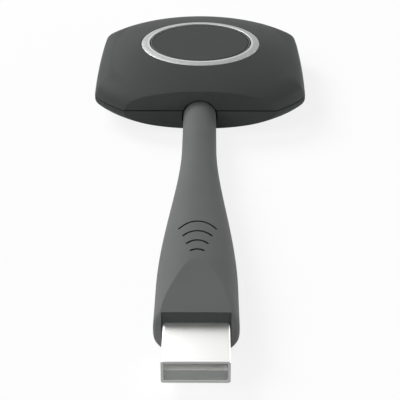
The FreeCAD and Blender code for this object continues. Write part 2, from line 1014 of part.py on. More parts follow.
makers = (
    top_cover, bottom_cover, base_pad, trim_ring, light_guide, button_cap, button_carrier, return_ring,
    switch_body, switch_plunger, main_board, led_lights, radio_shield, radio_chip, antennas,
    processor_chip, thermal_pad, heat_spreader, memory_chips, clock_crystal, power_inductors, capacitors,
    cover_screws, board_screws, neck_grommet, cable_clamp, clamp_screws, lead_plug, lead_socket,
    stem_sleeve, cable_jacket, cable_shield, cable_ferrule, conductors,
    plug_core, plug_shell, plug_tongue, plug_contacts,
)


def main():
    os.makedirs("parts", exist_ok=True)
    for maker in makers:
        shape = maker()
        name = maker.__name__
        shape.exportStep("parts/" + name + ".step")
        size = shape.BoundBox
        print(name, len(shape.Solids), shape.isValid(), "volume %.1f" % shape.Volume,
              "z %.2f to %.2f" % (size.ZMin, size.ZMax))


main()
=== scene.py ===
# %% [markdown]
# A wireless presentation dongle: a flat two-shell head with a round button in a satin ring, a soft
# moulded stem and a metal data plug. The engineering model is loaded first and stays where it is.
# Everything made below is fitted round it, in metres, in the same frame.

# %% Load the fixed frame
import functools
import json
import math

import bmesh
import bpy
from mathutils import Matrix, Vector

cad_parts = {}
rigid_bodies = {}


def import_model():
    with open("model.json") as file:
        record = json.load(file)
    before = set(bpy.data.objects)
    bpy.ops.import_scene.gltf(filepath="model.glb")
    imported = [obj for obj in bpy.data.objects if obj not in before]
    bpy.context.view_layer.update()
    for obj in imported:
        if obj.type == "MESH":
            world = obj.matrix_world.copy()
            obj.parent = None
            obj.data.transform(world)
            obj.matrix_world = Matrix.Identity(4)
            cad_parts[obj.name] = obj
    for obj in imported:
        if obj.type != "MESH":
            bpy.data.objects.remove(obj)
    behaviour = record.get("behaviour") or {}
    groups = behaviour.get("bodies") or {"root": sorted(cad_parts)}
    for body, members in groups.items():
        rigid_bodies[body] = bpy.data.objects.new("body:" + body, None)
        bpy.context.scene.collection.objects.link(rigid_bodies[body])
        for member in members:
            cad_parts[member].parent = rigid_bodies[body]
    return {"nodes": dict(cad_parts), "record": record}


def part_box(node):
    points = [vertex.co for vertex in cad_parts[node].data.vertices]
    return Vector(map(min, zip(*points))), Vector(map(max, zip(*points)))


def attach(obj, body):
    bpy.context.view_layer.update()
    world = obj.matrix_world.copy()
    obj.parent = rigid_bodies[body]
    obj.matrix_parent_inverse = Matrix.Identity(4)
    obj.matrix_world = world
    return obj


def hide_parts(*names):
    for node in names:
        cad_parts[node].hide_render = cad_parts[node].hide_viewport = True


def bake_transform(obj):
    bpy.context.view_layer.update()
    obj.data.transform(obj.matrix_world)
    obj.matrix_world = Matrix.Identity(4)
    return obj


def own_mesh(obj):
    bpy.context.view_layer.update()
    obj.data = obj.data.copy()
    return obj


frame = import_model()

for item in [item for item in bpy.data.objects if item.name in ("Cube", "Light", "Camera")]:
    bpy.data.objects.remove(item)
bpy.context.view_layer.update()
mm = 0.001

# %% [markdown]
# The camera comes first, because every later choice is judged through it. It could be placed by eye,
# but its lens, place and tilt come from a fit to points whose real size is known. The photograph was
# taken with a long lens from in front of the plug, looking down by a little under 29 degrees, and a
# touch to the right of the stem, which is why the plug stands a little left of the ring's centre.

# %% Camera
image_width = 400
lens_in_pixels = 1233.25
sensor_width = 36.0
camera_pitch = math.radians(28.58)
camera_yaw = math.radians(0.371)
camera_place = Vector((1.84, -299.82, 131.15)) * mm


def in_scene(name, data):
    """New object that shows some data, linked to the scene."""
    item = bpy.data.objects.new(name, data)
    bpy.context.scene.collection.objects.link(item)
    return item


camera_data = bpy.data.cameras.new("camera")
camera_data.sensor_width = sensor_width
camera_data.lens = lens_in_pixels / image_width * sensor_width
camera = in_scene("camera", camera_data)
camera.location = camera_place
camera.rotation_euler = (math.pi / 2 - camera_pitch, 0, camera_yaw)
bpy.context.scene.camera = camera
bpy.context.scene.view_settings.view_transform = "Standard"
print("lens in mm:", round(camera_data.lens, 1))

# %% [markdown]
# A finish is written as it is seen, in sRGB hex, and turned to the linear values that a shader needs.
# Nodes could be added one call at a time, but then a material fills a page. So one helper adds a node
# with its settings and links, and each material below reads as a recipe. Another lays a pattern on a
# finish, because in a real one the same grain shows in the tone, in the gloss and in the relief.

# %% Helpers for materials
def linear(hex_colour):
    """Linear RGBA of an sRGB hex colour."""
    values = [int(hex_colour[place:place + 2], 16) / 255 for place in (0, 2, 4)]
    curve = [value / 12.92 if value <= 0.04045 else ((value + 0.055) / 1.055) ** 2.4 for value in values]
    return (*curve, 1.0)


def shaded(hex_colour, shift):
    """Linear colour made paler, or darker by a shift below zero."""
    return (*[value * (1 + shift) for value in linear(hex_colour)[:3]], 1.0)


def add_node(tree, kind, settings=None, links=None):
    """Adds a node. Settings go to its inputs or attributes, and links join its inputs to sockets."""
    node = tree.nodes.new(kind)
    for key, value in (settings or {}).items():
        if isinstance(key, int) or key in node.inputs:
            node.inputs[key].default_value = value
        else:
            setattr(node, key, value)
    for key, socket in (links or {}).items():
        tree.links.new(socket, node.inputs[key])
    return node


def start_material(name):
    """Empty material, with its shader and object coordinates in millimetres."""
    material = bpy.data.materials.new(name)
    material.use_nodes = True
    tree = material.node_tree
    tree.nodes.clear()
    shader = add_node(tree, "ShaderNodeBsdfPrincipled")
    add_node(tree, "ShaderNodeOutputMaterial", links={"Surface": shader.outputs["BSDF"]})
    place = add_node(tree, "ShaderNodeTexCoord")
    scaled = add_node(tree, "ShaderNodeMapping", {"Scale": (1 / mm, 1 / mm, 1 / mm)},
                      {"Vector": place.outputs["Object"]})
    return material, tree, shader, scaled.outputs["Vector"]


def patterned(tree, shader, tone, colour, shift, grain, roughness, spread, strength, relief):
    """Lets the colour drift with a tone, and the gloss and the relief, in millimetres, with a grain."""
    tint = add_node(tree, "ShaderNodeMix",
                    {"data_type": "RGBA", 6: shaded(colour, -shift), 7: shaded(colour, shift)}, {0: tone})
    gloss = add_node(tree, "ShaderNodeMapRange", {3: roughness - spread, 4: roughness + spread}, {0: grain})
    skin = add_node(tree, "ShaderNodeBump", {"Strength": strength, "Distance": relief * mm},
                    {"Height": grain})
    tree.links.new(tint.outputs[2], shader.inputs["Base Color"])
    tree.links.new(gloss.outputs[0], shader.inputs["Roughness"])
    tree.links.new(skin.outputs["Normal"], shader.inputs["Normal"])


def second_colour(tree, shader, colour, mask):
    """Lays a second colour over the base colour where a mask is 1."""
    first = shader.inputs["Base Color"].links[0].from_socket
    both = add_node(tree, "ShaderNodeMix", {"data_type": "RGBA", 7: linear(colour)}, {0: mask, 6: first})
    tree.links.new(both.outputs[2], shader.inputs["Base Color"])


# %% [markdown]
# Most pieces are moulded plastic or rubber. A plain colour would look like a drawing, because a real
# moulding is never perfectly even: its tone drifts a little, and its skin carries the fine grain that
# spark erosion leaves in the mould, which also breaks up the gloss. The grain is given in millimetres,
# so it keeps its size on every piece. A real grain of 0.05 to 0.1 mm would be lost at this distance,
# so it is drawn three or four times as coarse.

# %% Moulded plastics and rubbers
finishes = {}
matte_level = 0.04
drifts_per_mm, drift_shift = 0.12, 0.06
mould_relief_strength, mould_gloss_spread = 0.6, 0.05


def moulded(slot, name, colour, roughness, grain, relief, ior=1.5):
    """Moulded finish for a slot, with a grain of the given size and relief in millimetres."""
    finishes[slot], tree, shader, place = start_material(name)
    drift = add_node(tree, "ShaderNodeTexNoise", {"Scale": drifts_per_mm, "Detail": 3.0}, {"Vector": place})
    speckle = add_node(tree, "ShaderNodeTexNoise", {"Scale": 1 / grain, "Detail": 2.0}, {"Vector": place})
    patterned(tree, shader, drift.outputs["Fac"], colour, drift_shift,
              speckle.outputs["Fac"], roughness, mould_gloss_spread, mould_relief_strength, relief)
    shader.inputs["IOR"].default_value = ior
    shader.inputs["Specular IOR Level"].default_value = matte_level
    return tree, shader, place


# ABS with an eroded grain: a dark grey that spreads its highlights over the whole crown
moulded("cover_plastic", "abs_eroded_grain", "434545", 0.55, 0.35, 0.02)
# The button's ABS has a finer grain, so it looks a little smoother than the cover round it
moulded("button_plastic", "abs_fine_grain", "434645", 0.58, 0.3, 0.015)
# Soft elastomer, a shade lighter than the covers, with a dry touch and no clear highlight
moulded("stem_rubber", "elastomer_soft_touch", "666767", 0.62, 0.4, 0.02, ior=1.48)
# The grooves of the arcs: the same elastomer, darkened as painted shade so that they read as lines
moulded("groove_painted_shade", "elastomer_painted_groove_shade", "2B2D2D", 0.62, 0.4, 0.01, ior=1.48)
# Foot of dense rubber: nearly black and without gloss
moulded("foot_rubber", "rubber_moulded", "2A2B2B", 0.8, 0.5, 0.03, ior=1.52)
# Inner mouldings of polycarbonate blend, left as they leave the tool
moulded("inner_plastic", "polycarbonate_as_moulded", "34363A", 0.45, 0.6, 0.02, ior=1.58)
# Chip packages: epoxy filled with silica, black with a faint sparkle
moulded("black_plastic", "epoxy_filled_moulded", "1B1C1E", 0.45, 0.2, 0.01, ior=1.55)
# Connector bodies: natural nylon, a warm white
moulded("white_plastic", "nylon_natural", "DAD8D0", 0.4, 0.5, 0.01, ior=1.53)
# Silicone: milky and blunt, with the low IOR of silicone
moulded("silicone", "silicone_milky", "A9B2B8", 0.6, 0.8, 0.01, ior=1.41)
# Capacitors and antennas: fired ceramic, tan and slightly sandy
moulded("ceramic", "ceramic_fired", "B79E7C", 0.5, 0.15, 0.01, ior=1.6)
# Inductors: pressed and sintered ferrite, a dull grey-black
moulded("ferrite", "ferrite_sintered", "3A3A3C", 0.6, 0.15, 0.02, ior=1.6)
# Cable jacket: extruded vinyl, smooth along its length
moulded("jacket_vinyl", "vinyl_extruded", "232425", 0.42, 0.6, 0.01, ior=1.53)
# Core of the boot: polyethylene, waxy and pale
moulded("core_plastic", "polyethylene_moulded", "C9CAC4", 0.5, 0.7, 0.01, ior=1.51)
print("moulded finishes:", len(finishes))

# %% [markdown]
# Two mouldings have more than one colour. The plug's tongue is painted pale behind its front face, as painted
# light on its top, and grey on that face, as painted shade; the change comes at a place on the Y axis just
# behind that face. The four wires carry a number from 0 to 1 along with their mesh, and a stepped ramp turns
# it into the four colours of such a cable. Separate materials would do the same, but this way each stays one
# piece with one finish.

# %% Tongue and wires
tongue_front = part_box("plug_tongue")[0].y / mm
face_depth = 0.05
tree, shader, place = moulded("tongue_plastic", "nylon_tongue_painted_light_and_shade", "8E918F", 0.5, 0.4, 0.01, ior=1.53)
axes = add_node(tree, "ShaderNodeSeparateXYZ", links={0: place})
behind = add_node(tree, "ShaderNodeMath", {"operation": "GREATER_THAN", 1: tongue_front + face_depth},
                  {0: axes.outputs["Y"]})
# The pale colour behind the front face is painted light on the top, and the grey front face is painted shade
second_colour(tree, shader, "EDEDEB", behind.outputs[0])

tree, shader, _ = moulded("wire_vinyl", "vinyl_wire_colours", "A83428", 0.4, 0.6, 0.01, ior=1.53)
number = add_node(tree, "ShaderNodeAttribute", {"attribute_name": "wire"})
ramp = add_node(tree, "ShaderNodeValToRGB", links={"Fac": number.outputs["Fac"]})
ramp.color_ramp.interpolation = "CONSTANT"
for change in (0.2, 0.5, 0.8):
    ramp.color_ramp.elements.new(change)
for element, colour in zip(ramp.color_ramp.elements, ("A83428", "DADAD4", "2F7A45", "26272A", "26272A")):
    element.color = linear(colour)
tree.links.new(ramp.outputs["Color"], shader.inputs["Base Color"])
print("colours of the wires:", len(ramp.color_ramp.elements) - 1)

# %% [markdown]
# The metal pieces differ in how they were worked. Each keeps metallic at 1 and the default IOR, and
# its colour is the metal's own reflection. Drawn and rolled sheet has its grain along X, so the noise
# is stretched that way, while turned and cut metal has a short grain. An anisotropic gloss could stand
# for the grain as well, but the stretched noise also shows it from close up.

# %% Metals
metal_relief_strength, metal_gloss_spread = 0.4, 0.06


def worked_metal(slot, name, colour, roughness, grain, stretch, relief, shift=0.03):
    """Metal with a grain: its width is in millimetres, and its stretch is in widths."""
    finishes[slot], tree, shader, place = start_material(name)
    drawn = add_node(tree, "ShaderNodeMapping", {"Scale": (1 / stretch, 1.0, 1.0)}, {"Vector": place})
    lines = add_node(tree, "ShaderNodeTexNoise", {"Scale": 1 / grain, "Detail": 3.0},
                     {"Vector": drawn.outputs["Vector"]})
    patterned(tree, shader, lines.outputs["Fac"], colour, shift,
              lines.outputs["Fac"], roughness, metal_gloss_spread, metal_relief_strength, relief)
    shader.inputs["Metallic"].default_value = 1.0
    return tree, shader, place


# Plug shell: steel strip with a pale nickel plate that keeps the strip's rolling lines
worked_metal("plug_metal", "nickel_plate_satin", "DEDEDC", 0.45, 0.1, 20.0, 0.005)
# The strip's cut edge is duller than its face, and its darker colour is painted shade on the faces that look
# forward
worked_metal("plug_rim", "nickel_plate_edge_painted_shade", "A2A4A3", 0.5, 0.1, 4.0, 0.01)
# Shield can, crystal and ferrule: tin plate, with a soft rolled grain
worked_metal("tin_plate", "tin_plate_rolled", "C6C5C0", 0.3, 0.2, 12.0, 0.005)
# Heat spreader: rolled aluminium sheet
worked_metal("aluminium_sheet", "aluminium_rolled", "D4D5D6", 0.38, 0.15, 25.0, 0.01)
# Screws: steel with a grey zinc plate
worked_metal("screw_steel", "steel_zinc_plated", "A3A3A4", 0.34, 0.1, 1.0, 0.01)
# Shield: copper strands with a tin coat
worked_metal("braid", "copper_strands_tinned", "C9C4B8", 0.32, 0.12, 1.0, 0.01)
# Contacts: nickel under a thin flash of gold
worked_metal("contact_plate", "nickel_gold_flash", "E6D9B8", 0.25, 0.1, 8.0, 0.004)
# Trim ring: aluminium, turned and then blasted to a fine speckle, drawn three times as coarse as real
tree, shader, place = worked_metal("ring_metal", "aluminium_turned_satin", "9D9E9E", 0.46, 0.4, 1.0, 0.02,
                                   shift=0.4)
print("finishes:", len(finishes))

# %% [markdown]
# A narrow band on the inner part of the ring's top is painted paler than the rest, as a painted highlight
# along its inner edge. A second material on some faces would end in steps, so the band is a tone that depends
# on the distance from the ring's axis, with a soft change on both sides.

# %% Painted highlight on the ring
ring_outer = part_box("trim_ring")[1].x / mm
highlight_start, highlight_end, highlight_fade = ring_outer - 1.9, ring_outer - 1.6, 0.12
level_place = add_node(tree, "ShaderNodeMapping", {"Scale": (1.0, 1.0, 0.0)}, {"Vector": place})
reach = add_node(tree, "ShaderNodeVectorMath", {"operation": "LENGTH"}, {0: level_place.outputs["Vector"]})
inside = add_node(tree, "ShaderNodeMapRange", {1: highlight_end, 2: highlight_end + highlight_fade, 3: 1.0, 4: 0.0},
                  {0: reach.outputs["Value"]})
outside = add_node(tree, "ShaderNodeMapRange", {1: highlight_start - highlight_fade, 2: highlight_start},
                   {0: reach.outputs["Value"]})
on_painted_highlight = add_node(tree, "ShaderNodeMath", {"operation": "MULTIPLY"},
                  {0: inside.outputs[0], 1: outside.outputs[0]})
# A pale band is laid on the ring's top as a painted highlight
second_colour(tree, shader, "BBBBBB", on_painted_highlight.outputs[0])
print("painted highlight of the ring from", round(highlight_start, 2), "to", round(highlight_end, 2), "mm")

# %% [markdown]
# The board is glass epoxy under a green lacquer, through which faint copper tracks show. They could be
# modelled, but nobody sees them at rest, so a brick pattern stands for them. The light guide and the
# lamps are resin with a frosted skin, which lets a little light through.

# %% Board, guide and lamps
track_pitch, track_width, lacquer_relief = 2.0, 0.06, 0.03
frost_grain, frost_relief, acrylic_ior = 0.25, 0.01, 1.49

finishes["board"], tree, shader, place = start_material("board_solder_mask")
tracks = add_node(tree, "ShaderNodeTexBrick",
                  {"Scale": 1 / track_pitch, "Color1": linear("1D5A38"), "Color2": linear("1A5233"),
                   "Mortar": linear("2C7A4C"), "Mortar Size": track_width}, {"Vector": place})
tree.links.new(tracks.outputs["Color"], shader.inputs["Base Color"])
lacquer = add_node(tree, "ShaderNodeBump", {"Strength": 0.5, "Distance": lacquer_relief * mm},
                   {"Height": tracks.outputs["Fac"]})
tree.links.new(lacquer.outputs["Normal"], shader.inputs["Normal"])
shader.inputs["Roughness"].default_value = 0.3


def frosted(slot, name, colour, roughness, clear):
    """Resin that lets part of the light through its frosted skin."""
    finishes[slot], tree, shader, place = start_material(name)
    frost = add_node(tree, "ShaderNodeTexNoise", {"Scale": 1 / frost_grain, "Detail": 2.0}, {"Vector": place})
    skin = add_node(tree, "ShaderNodeBump", {"Strength": 0.3, "Distance": frost_relief * mm},
                    {"Height": frost.outputs["Fac"]})
    tree.links.new(skin.outputs["Normal"], shader.inputs["Normal"])
    shader.inputs["Base Color"].default_value = linear(colour)
    shader.inputs["Roughness"].default_value = roughness
    shader.inputs["Transmission Weight"].default_value = clear
    shader.inputs["IOR"].default_value = acrylic_ior


# The guide is smoked acrylic, and its dark tone also serves as painted shade in the gap between button and
# ring while its lamps are off
frosted("guide_plastic", "acrylic_smoked_gap_shade", "3C3F40", 0.35, 0.3)
# Lamps: clear resin with a yellow phosphor under it
frosted("lamp_plastic", "resin_with_phosphor", "E6E0B8", 0.2, 0.5)
print("all finishes:", len(finishes))

# %% [markdown]
# The model's parts are right in shape but bare. Each names the kind of material it is made of, so one
# loop can hand out the finishes. Parts that are built again below get theirs with the new piece.

# %% Give every part of the model its finish
for part in frame["record"]["subparts"]:
    node = frame["nodes"][part["node"]]
    for index in range(len(node.material_slots)):
        node.material_slots[index].material = finishes[part["material_slot"]]
print("finished parts:", len(frame["nodes"]))

# %% [markdown]
# The visible shells are built again here from the rule that shaped the model, with finer steps and
# with the small rounded edges that a mould leaves. They could be modelled by subdivision, but then the
# crisp corners would need many support loops. Instead each shell is a closed skin: for every direction
# round the button a closed profile is worked out, and neighbouring profiles are joined by faces.
# Profiles are written as corners with a rounding radius, and sizes are in millimetres.

# %% Profiles and skins
round_steps = 4
merge_distance = 0.002
# A corner of this radius keeps its place among the points of a profile, but merges to one point
unrounded = merge_distance / 4
# A rounding takes up less than half of the shorter side beside it, and a needle corner counts as wider
longest_cut, least_half_turn = 0.45, 0.05
sharp_angle = math.radians(35)


def rounded(corners):
    """Closed profile of (x, y, radius) corners, each with a radius above zero rounded by a short curve."""
    points = []
    for index, (x, y, radius) in enumerate(corners):
        here = Vector((x, y))
        if radius == 0:
            points.append(here)
            continue
        before = Vector(corners[index - 1][:2]) - here
        after = Vector(corners[(index + 1) % len(corners)][:2]) - here
        shorter = min(before.length, after.length)
        if shorter < merge_distance:
            points += [here] * (round_steps + 1)
            continue
        half = max(before.angle(after) / 2, least_half_turn)
        cut = min(radius / math.tan(half), longest_cut * shorter)
        start, end = here + before.normalized() * cut, here + after.normalized() * cut
        for step in range(round_steps + 1):
            share = step / round_steps
            points.append(start * (1 - share) ** 2 + here * 2 * share * (1 - share) + end * share ** 2)
    return points


def smooth(piece):
    """Smooth shading, but for sharp edges."""
    mesh = piece.data
    mesh.polygons.foreach_set("use_smooth", [True] * len(mesh.polygons))
    mesh.set_sharp_from_angle(angle=sharp_angle)


def new_piece(name, points, faces):
    """Mesh object from points in millimetres, with doubles merged and faces turned outwards."""
    shape = bmesh.new()
    corners = [shape.verts.new(Vector(point) * mm) for point in points]
    for face in faces:
        shape.faces.new([corners[number] for number in face])
    bmesh.ops.remove_doubles(shape, verts=shape.verts, dist=merge_distance * mm)
    bmesh.ops.dissolve_degenerate(shape, edges=shape.edges, dist=merge_distance * mm / 2)
    bmesh.ops.delete(shape, geom=[edge for edge in shape.edges if not edge.link_faces], context="EDGES")
    bmesh.ops.recalc_face_normals(shape, faces=shape.faces)
    mesh = bpy.data.meshes.new(name)
    shape.to_mesh(mesh)
    shape.free()
    piece = in_scene(name, mesh)
    smooth(piece)
    return piece


def skin(rings, closed_ring=True, closed_row=True, start=0):
    """Points and faces of a skin over rings that have the same number of points."""
    count = len(rings[0])
    points = [point for ring in rings for point in ring]
    faces = []
    for row in range(len(rings) if closed_row else len(rings) - 1):
        here, there = start + row * count, start + (row + 1) % len(rings) * count
        for place in range(count if closed_ring else count - 1):
            beside = (place + 1) % count
            faces.append((here + place, here + beside, there + beside, there + place))
    return points, faces


def bars(name, shapes):
    """One mesh of closed bars, each given by its rings and capped at its first and last ring."""
    points, faces = [], []
    for rings in shapes:
        start, count = len(points), len(rings[0])
        bar_points, bar_faces = skin(rings, closed_row=False, start=start)
        points += bar_points
        end = len(points)
        faces += bar_faces + [tuple(range(start, start + count)), tuple(range(end - count, end))]
    return new_piece(name, points, faces)


def block(low, high):
    """Rings of a block, given by its lowest and its highest corner."""
    plan = ((low[0], low[1]), (high[0], low[1]), (high[0], high[1]), (low[0], high[1]))
    return [[(x, y, z) for x, y in plan] for z in (low[2], high[2])]


def around(sides):
    """Turns that divide a circle evenly."""
    return [math.tau * index / sides for index in range(sides)]


def turned(profile_at, turns):
    """Rings of a turned shape: its profile (radius, height) at each turn round the button's axis."""
    return [[(point.x * math.cos(turn), point.x * math.sin(turn), point.y) for point in profile_at(turn)]
            for turn in turns]


def make_plain(piece):
    """Puts the result of a piece's modifiers in its mesh, and removes them."""
    depsgraph = bpy.context.evaluated_depsgraph_get()
    mesh = bpy.data.meshes.new_from_object(piece.evaluated_get(depsgraph))
    piece.modifiers.clear()
    piece.data = mesh
    smooth(piece)


def cut_with(piece, cutter, operation="DIFFERENCE"):
    """Cuts a piece with another mesh, or joins them, and removes the other."""
    modifier = piece.modifiers.new("cut", "BOOLEAN")
    modifier.operation = operation
    modifier.solver = "EXACT"
    modifier.object = cutter
    make_plain(piece)
    bpy.data.objects.remove(cutter)


def finish_piece(piece, slot, body, *nodes):
    """Gives a piece its finish and its body, if it has one body, and lets it stand for model nodes."""
    piece.data.materials.clear()
    piece.data.materials.append(finishes[slot])
    if body:
        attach(piece, body)
    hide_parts(*nodes)
    print(piece.name, "has", len(piece.data.polygons), "faces and stands for", *nodes)


def corner_of(node, end):
    """Lowest (0) or highest (1) corner of a model node, in millimetres."""
    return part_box(node)[end] / mm


# %% [markdown]
# Seen from above the head is a lens: two nearly straight sides, a rounder back and a rounder front,
# each an arc, which meet in four crisp corners. The arcs could be trimmed against each other, but a
# high power blends side and end arcs into one outline, and a lower one softens the corners on the way
# up. Above the parting line the outline turns step by step into the circle of the ring's seat.

# %% Outline of the head
side_reach, side_radius = 26.6, 460.0
back_reach, back_radius = 33.9, 31.0
front_reach, front_radius = 31.7, 30.8
corner_sharpness, crown_sharpness, corner_fade = 200.0, 14.0, 3.0
front_flat = -corner_of("top_cover", 0).y
seat_gap = 0.4
ring_seat = ring_outer + seat_gap
parting_height = 6.4
crown_height = corner_of("top_cover", 1).z - parting_height
crown_roundness = 2.35
shell_wall = 1.6
seam_gap = 0.24
slip = 0.05
# A direction meets the flat front if its sine is below this one
front_sine, far_away = -0.3, 1000.0
coarse_turn, fine_turn, fine_reach = 1.2, 0.25, 3.0
corner_search = (0.2, 1.4)
halvings = 40


def arc_distance(turn, reach, radius):
    """Distance from the button's axis to an arc, at a turn from the arc's own middle."""
    centre = reach - radius
    return centre * math.cos(turn) + math.sqrt(radius ** 2 - (centre * math.sin(turn)) ** 2)


def outline(angle, sharpness=corner_sharpness):
    """Distance from the button's axis to the head's outline."""
    side = arc_distance(math.acos(min(1.0, abs(math.cos(angle)))), side_reach, side_radius)
    if math.sin(angle) >= 0:
        end = arc_distance(math.pi / 2 - angle, back_reach, back_radius)
    else:
        end = arc_distance(math.pi / 2 + angle, front_reach, front_radius)
    return (side ** -sharpness + end ** -sharpness) ** (-1 / sharpness)


def crown_radius(angle, level, inset=0.0):
    """Radius of the crown at a level from 0 at the parting line to 1 at the ring's seat."""
    blend = level ** crown_roundness
    sharpness = corner_sharpness + (crown_sharpness - corner_sharpness) * min(1.0, corner_fade * blend)
    return (outline(angle, sharpness) - inset) * (1 - blend) + ring_seat * blend


def front_distance(angle, inset=0.0):
    """Distance along a direction to the flat front of the head, or a far one if it points away."""
    return (front_flat - inset) / -math.sin(angle) if math.sin(angle) < front_sine else far_away


def crossing(inside, low, high):
    """Value between low and high at which inside(value) turns from true to false."""
    for _ in range(halvings):
        half = (low + high) / 2
        low, high = (half, high) if inside(half) else (low, half)
    return low


def corner_turn(reach, radius):
    """Turn from the side's middle at which an end's arc comes inside the side's arc."""
    return crossing(lambda turn: arc_distance(turn, side_reach, side_radius)
                    < arc_distance(math.pi / 2 - turn, reach, radius), *corner_search)


def head_angles():
    """Directions round the head, closer together at its corners and at the ends of its flat front."""
    back, front = corner_turn(back_reach, back_radius), corner_turn(front_reach, front_radius)
    flat_end = crossing(lambda turn: outline(-turn) < front_distance(-turn), front, math.pi / 2)
    special = [back, math.pi - back, -front, math.pi + front, -flat_end, math.pi + flat_end]
    exact = [(math.degrees(angle) + 90) % 360 - 90 for angle in special]
    degrees = [-90 + coarse_turn * index for index in range(round(360 / coarse_turn))]
    steps = round(fine_reach / fine_turn)
    degrees += [degree + fine_turn * step for degree in exact for step in range(-steps, steps + 1)]
    closest, same = 0.6 * fine_turn, 1e-6
    kept = []
    for degree in sorted((degree + 90) % 360 - 90 for degree in degrees):
        if not kept or degree - kept[-1] >= closest:
            kept.append(degree)
        elif min(abs(degree - value) for value in exact) < same:
            kept[-1] = degree
    return [math.radians(degree) for degree in kept]


angles = head_angles()
print("directions round the head:", len(angles))

# %% [markdown]
# The upper cover carries the dome. Its profile starts at the seam, rises up the flat front where there
# is one, follows the crown to the ring's seat, steps down into the recess that holds the ring and the
# light guide, and comes back along the inside one wall thickness away. The hole for the neck is cut
# afterwards, because only a few directions would meet it. It is a little wider than the neck, so that
# the same dark gap shows round it as in the photograph.

# %% Upper cover
crown_steps = 34
edge_round, facet_round, seat_round = 0.18, 0.35, 0.06
brim_depth, brim_start, brim_height = 0.22, 0.25, 0.55
brim_fade_start, brim_fade_height = 0.8, 2.4
ring_floor = corner_of("trim_ring", 0).z
guide_bore, collar_depth, collar_wall = 14.2, 1.6, 1.2
neck_axis = 4.8
neck_hole, neck_cut_past = 4.38, 0.5


def smooth_share(share):
    """Share from 0 to 1 that starts and ends gently."""
    share = min(1.0, max(0.0, share))
    return share * share * (3 - 2 * share)


def brim(height):
    """How far the wall above the seam is drawn in, to leave a thin brim at the seam itself."""
    above = height - parting_height
    fade = smooth_share((above - brim_fade_start) / brim_fade_height)
    return brim_depth * smooth_share((above - brim_start) / brim_height) * (1 - fade)


def crown_point(angle, level):
    """Distance from the axis, and height, of a point of the crown."""
    height = parting_height + crown_height * level
    return crown_radius(angle, level) - brim(height), height


def upper_profile(angle):
    """Closed profile of the upper cover in a direction."""
    seam = parting_height + seam_gap / 2
    seam_level = (seam - parting_height) / crown_height
    flat = front_distance(angle)
    start_level = seam_level
    if crown_point(angle, seam_level)[0] > flat:
        start_level = crossing(lambda level: crown_point(angle, level)[0] > flat, seam_level, 1.0)
    edge_radius, edge_height = crown_point(angle, start_level)
    rim = min(flat, edge_radius)
    corners = [(rim, seam, edge_round)]
    corners += [(rim, seam + (edge_height - seam) * share, 0) for share in (0.25, 0.5, 0.75)]
    corners.append((rim, edge_height, facet_round if start_level > seam_level else unrounded))
    for step in range(1, crown_steps):
        level = start_level + (1 - start_level) * step / crown_steps
        corners.append((*crown_point(angle, level), 0))
    top, collar_low = parting_height + crown_height, ring_floor - collar_depth
    corners += [(ring_seat, top, edge_round), (ring_outer + slip, top, seat_round)]
    corners += [(ring_outer + slip, ring_floor, 0), (guide_bore, ring_floor, 0), (guide_bore, collar_low, 0)]
    corners += [(guide_bore + collar_wall, collar_low, 0), (guide_bore + collar_wall, top - shell_wall, 0)]
    inner_flat = front_distance(angle, shell_wall)
    for step in range(crown_steps, -1, -2):
        level = seam_level + (1 - seam_level) * step / crown_steps
        height = parting_height + (crown_height - shell_wall) * level
        corners.append((min(crown_radius(angle, level, shell_wall), inner_flat), height, 0))
    return rounded(corners)


def round_bar(radius, places, sides=96):
    """Rings of a round bar on the neck's axis, one at each place along the stem."""
    return [[(radius * math.cos(turn), -place, neck_axis + radius * math.sin(turn)) for turn in around(sides)]
            for place in places]


def cut_neck_hole(cover):
    """Opens a cover for the neck."""
    ends = (front_flat + neck_cut_past, front_flat - shell_wall - neck_cut_past)
    cut_with(cover, bars("neck_cut", [round_bar(neck_hole, ends)]))


upper_cover = new_piece("upper_cover", *skin(turned(upper_profile, angles)))
cut_neck_hole(upper_cover)
finish_piece(upper_cover, "cover_plastic", "head", "top_cover")

# %% [markdown]
# The lower cover is a shallow bowl that stands on the rubber foot. Its profile runs from the axis
# above the foot, out along the flat, up the bowl, up the flat front, over the seam's hidden step and
# back inside. The screws need bosses and wells, which have nothing to do with the bowl's rule, so they
# are joined to it and cut from it as plain round bars, as a machinist would.

# %% Lower cover
floor_low = corner_of("bottom_cover", 0).z
rim_band = 0.5
bowl_flat_share, bowl_fullness = 0.56, 0.68
bowl_steps = 26
pad_top = corner_of("base_pad", 1).z
pad_inset = 1.2
seam_depth = 0.7
floor_round = 0.08


def bowl_share(level):
    """Share of the outline that the bowl keeps, at a level from 0 at its rim to 1 at its floor."""
    return bowl_flat_share + (1 - bowl_flat_share) * (1 - level ** 2) ** bowl_fullness


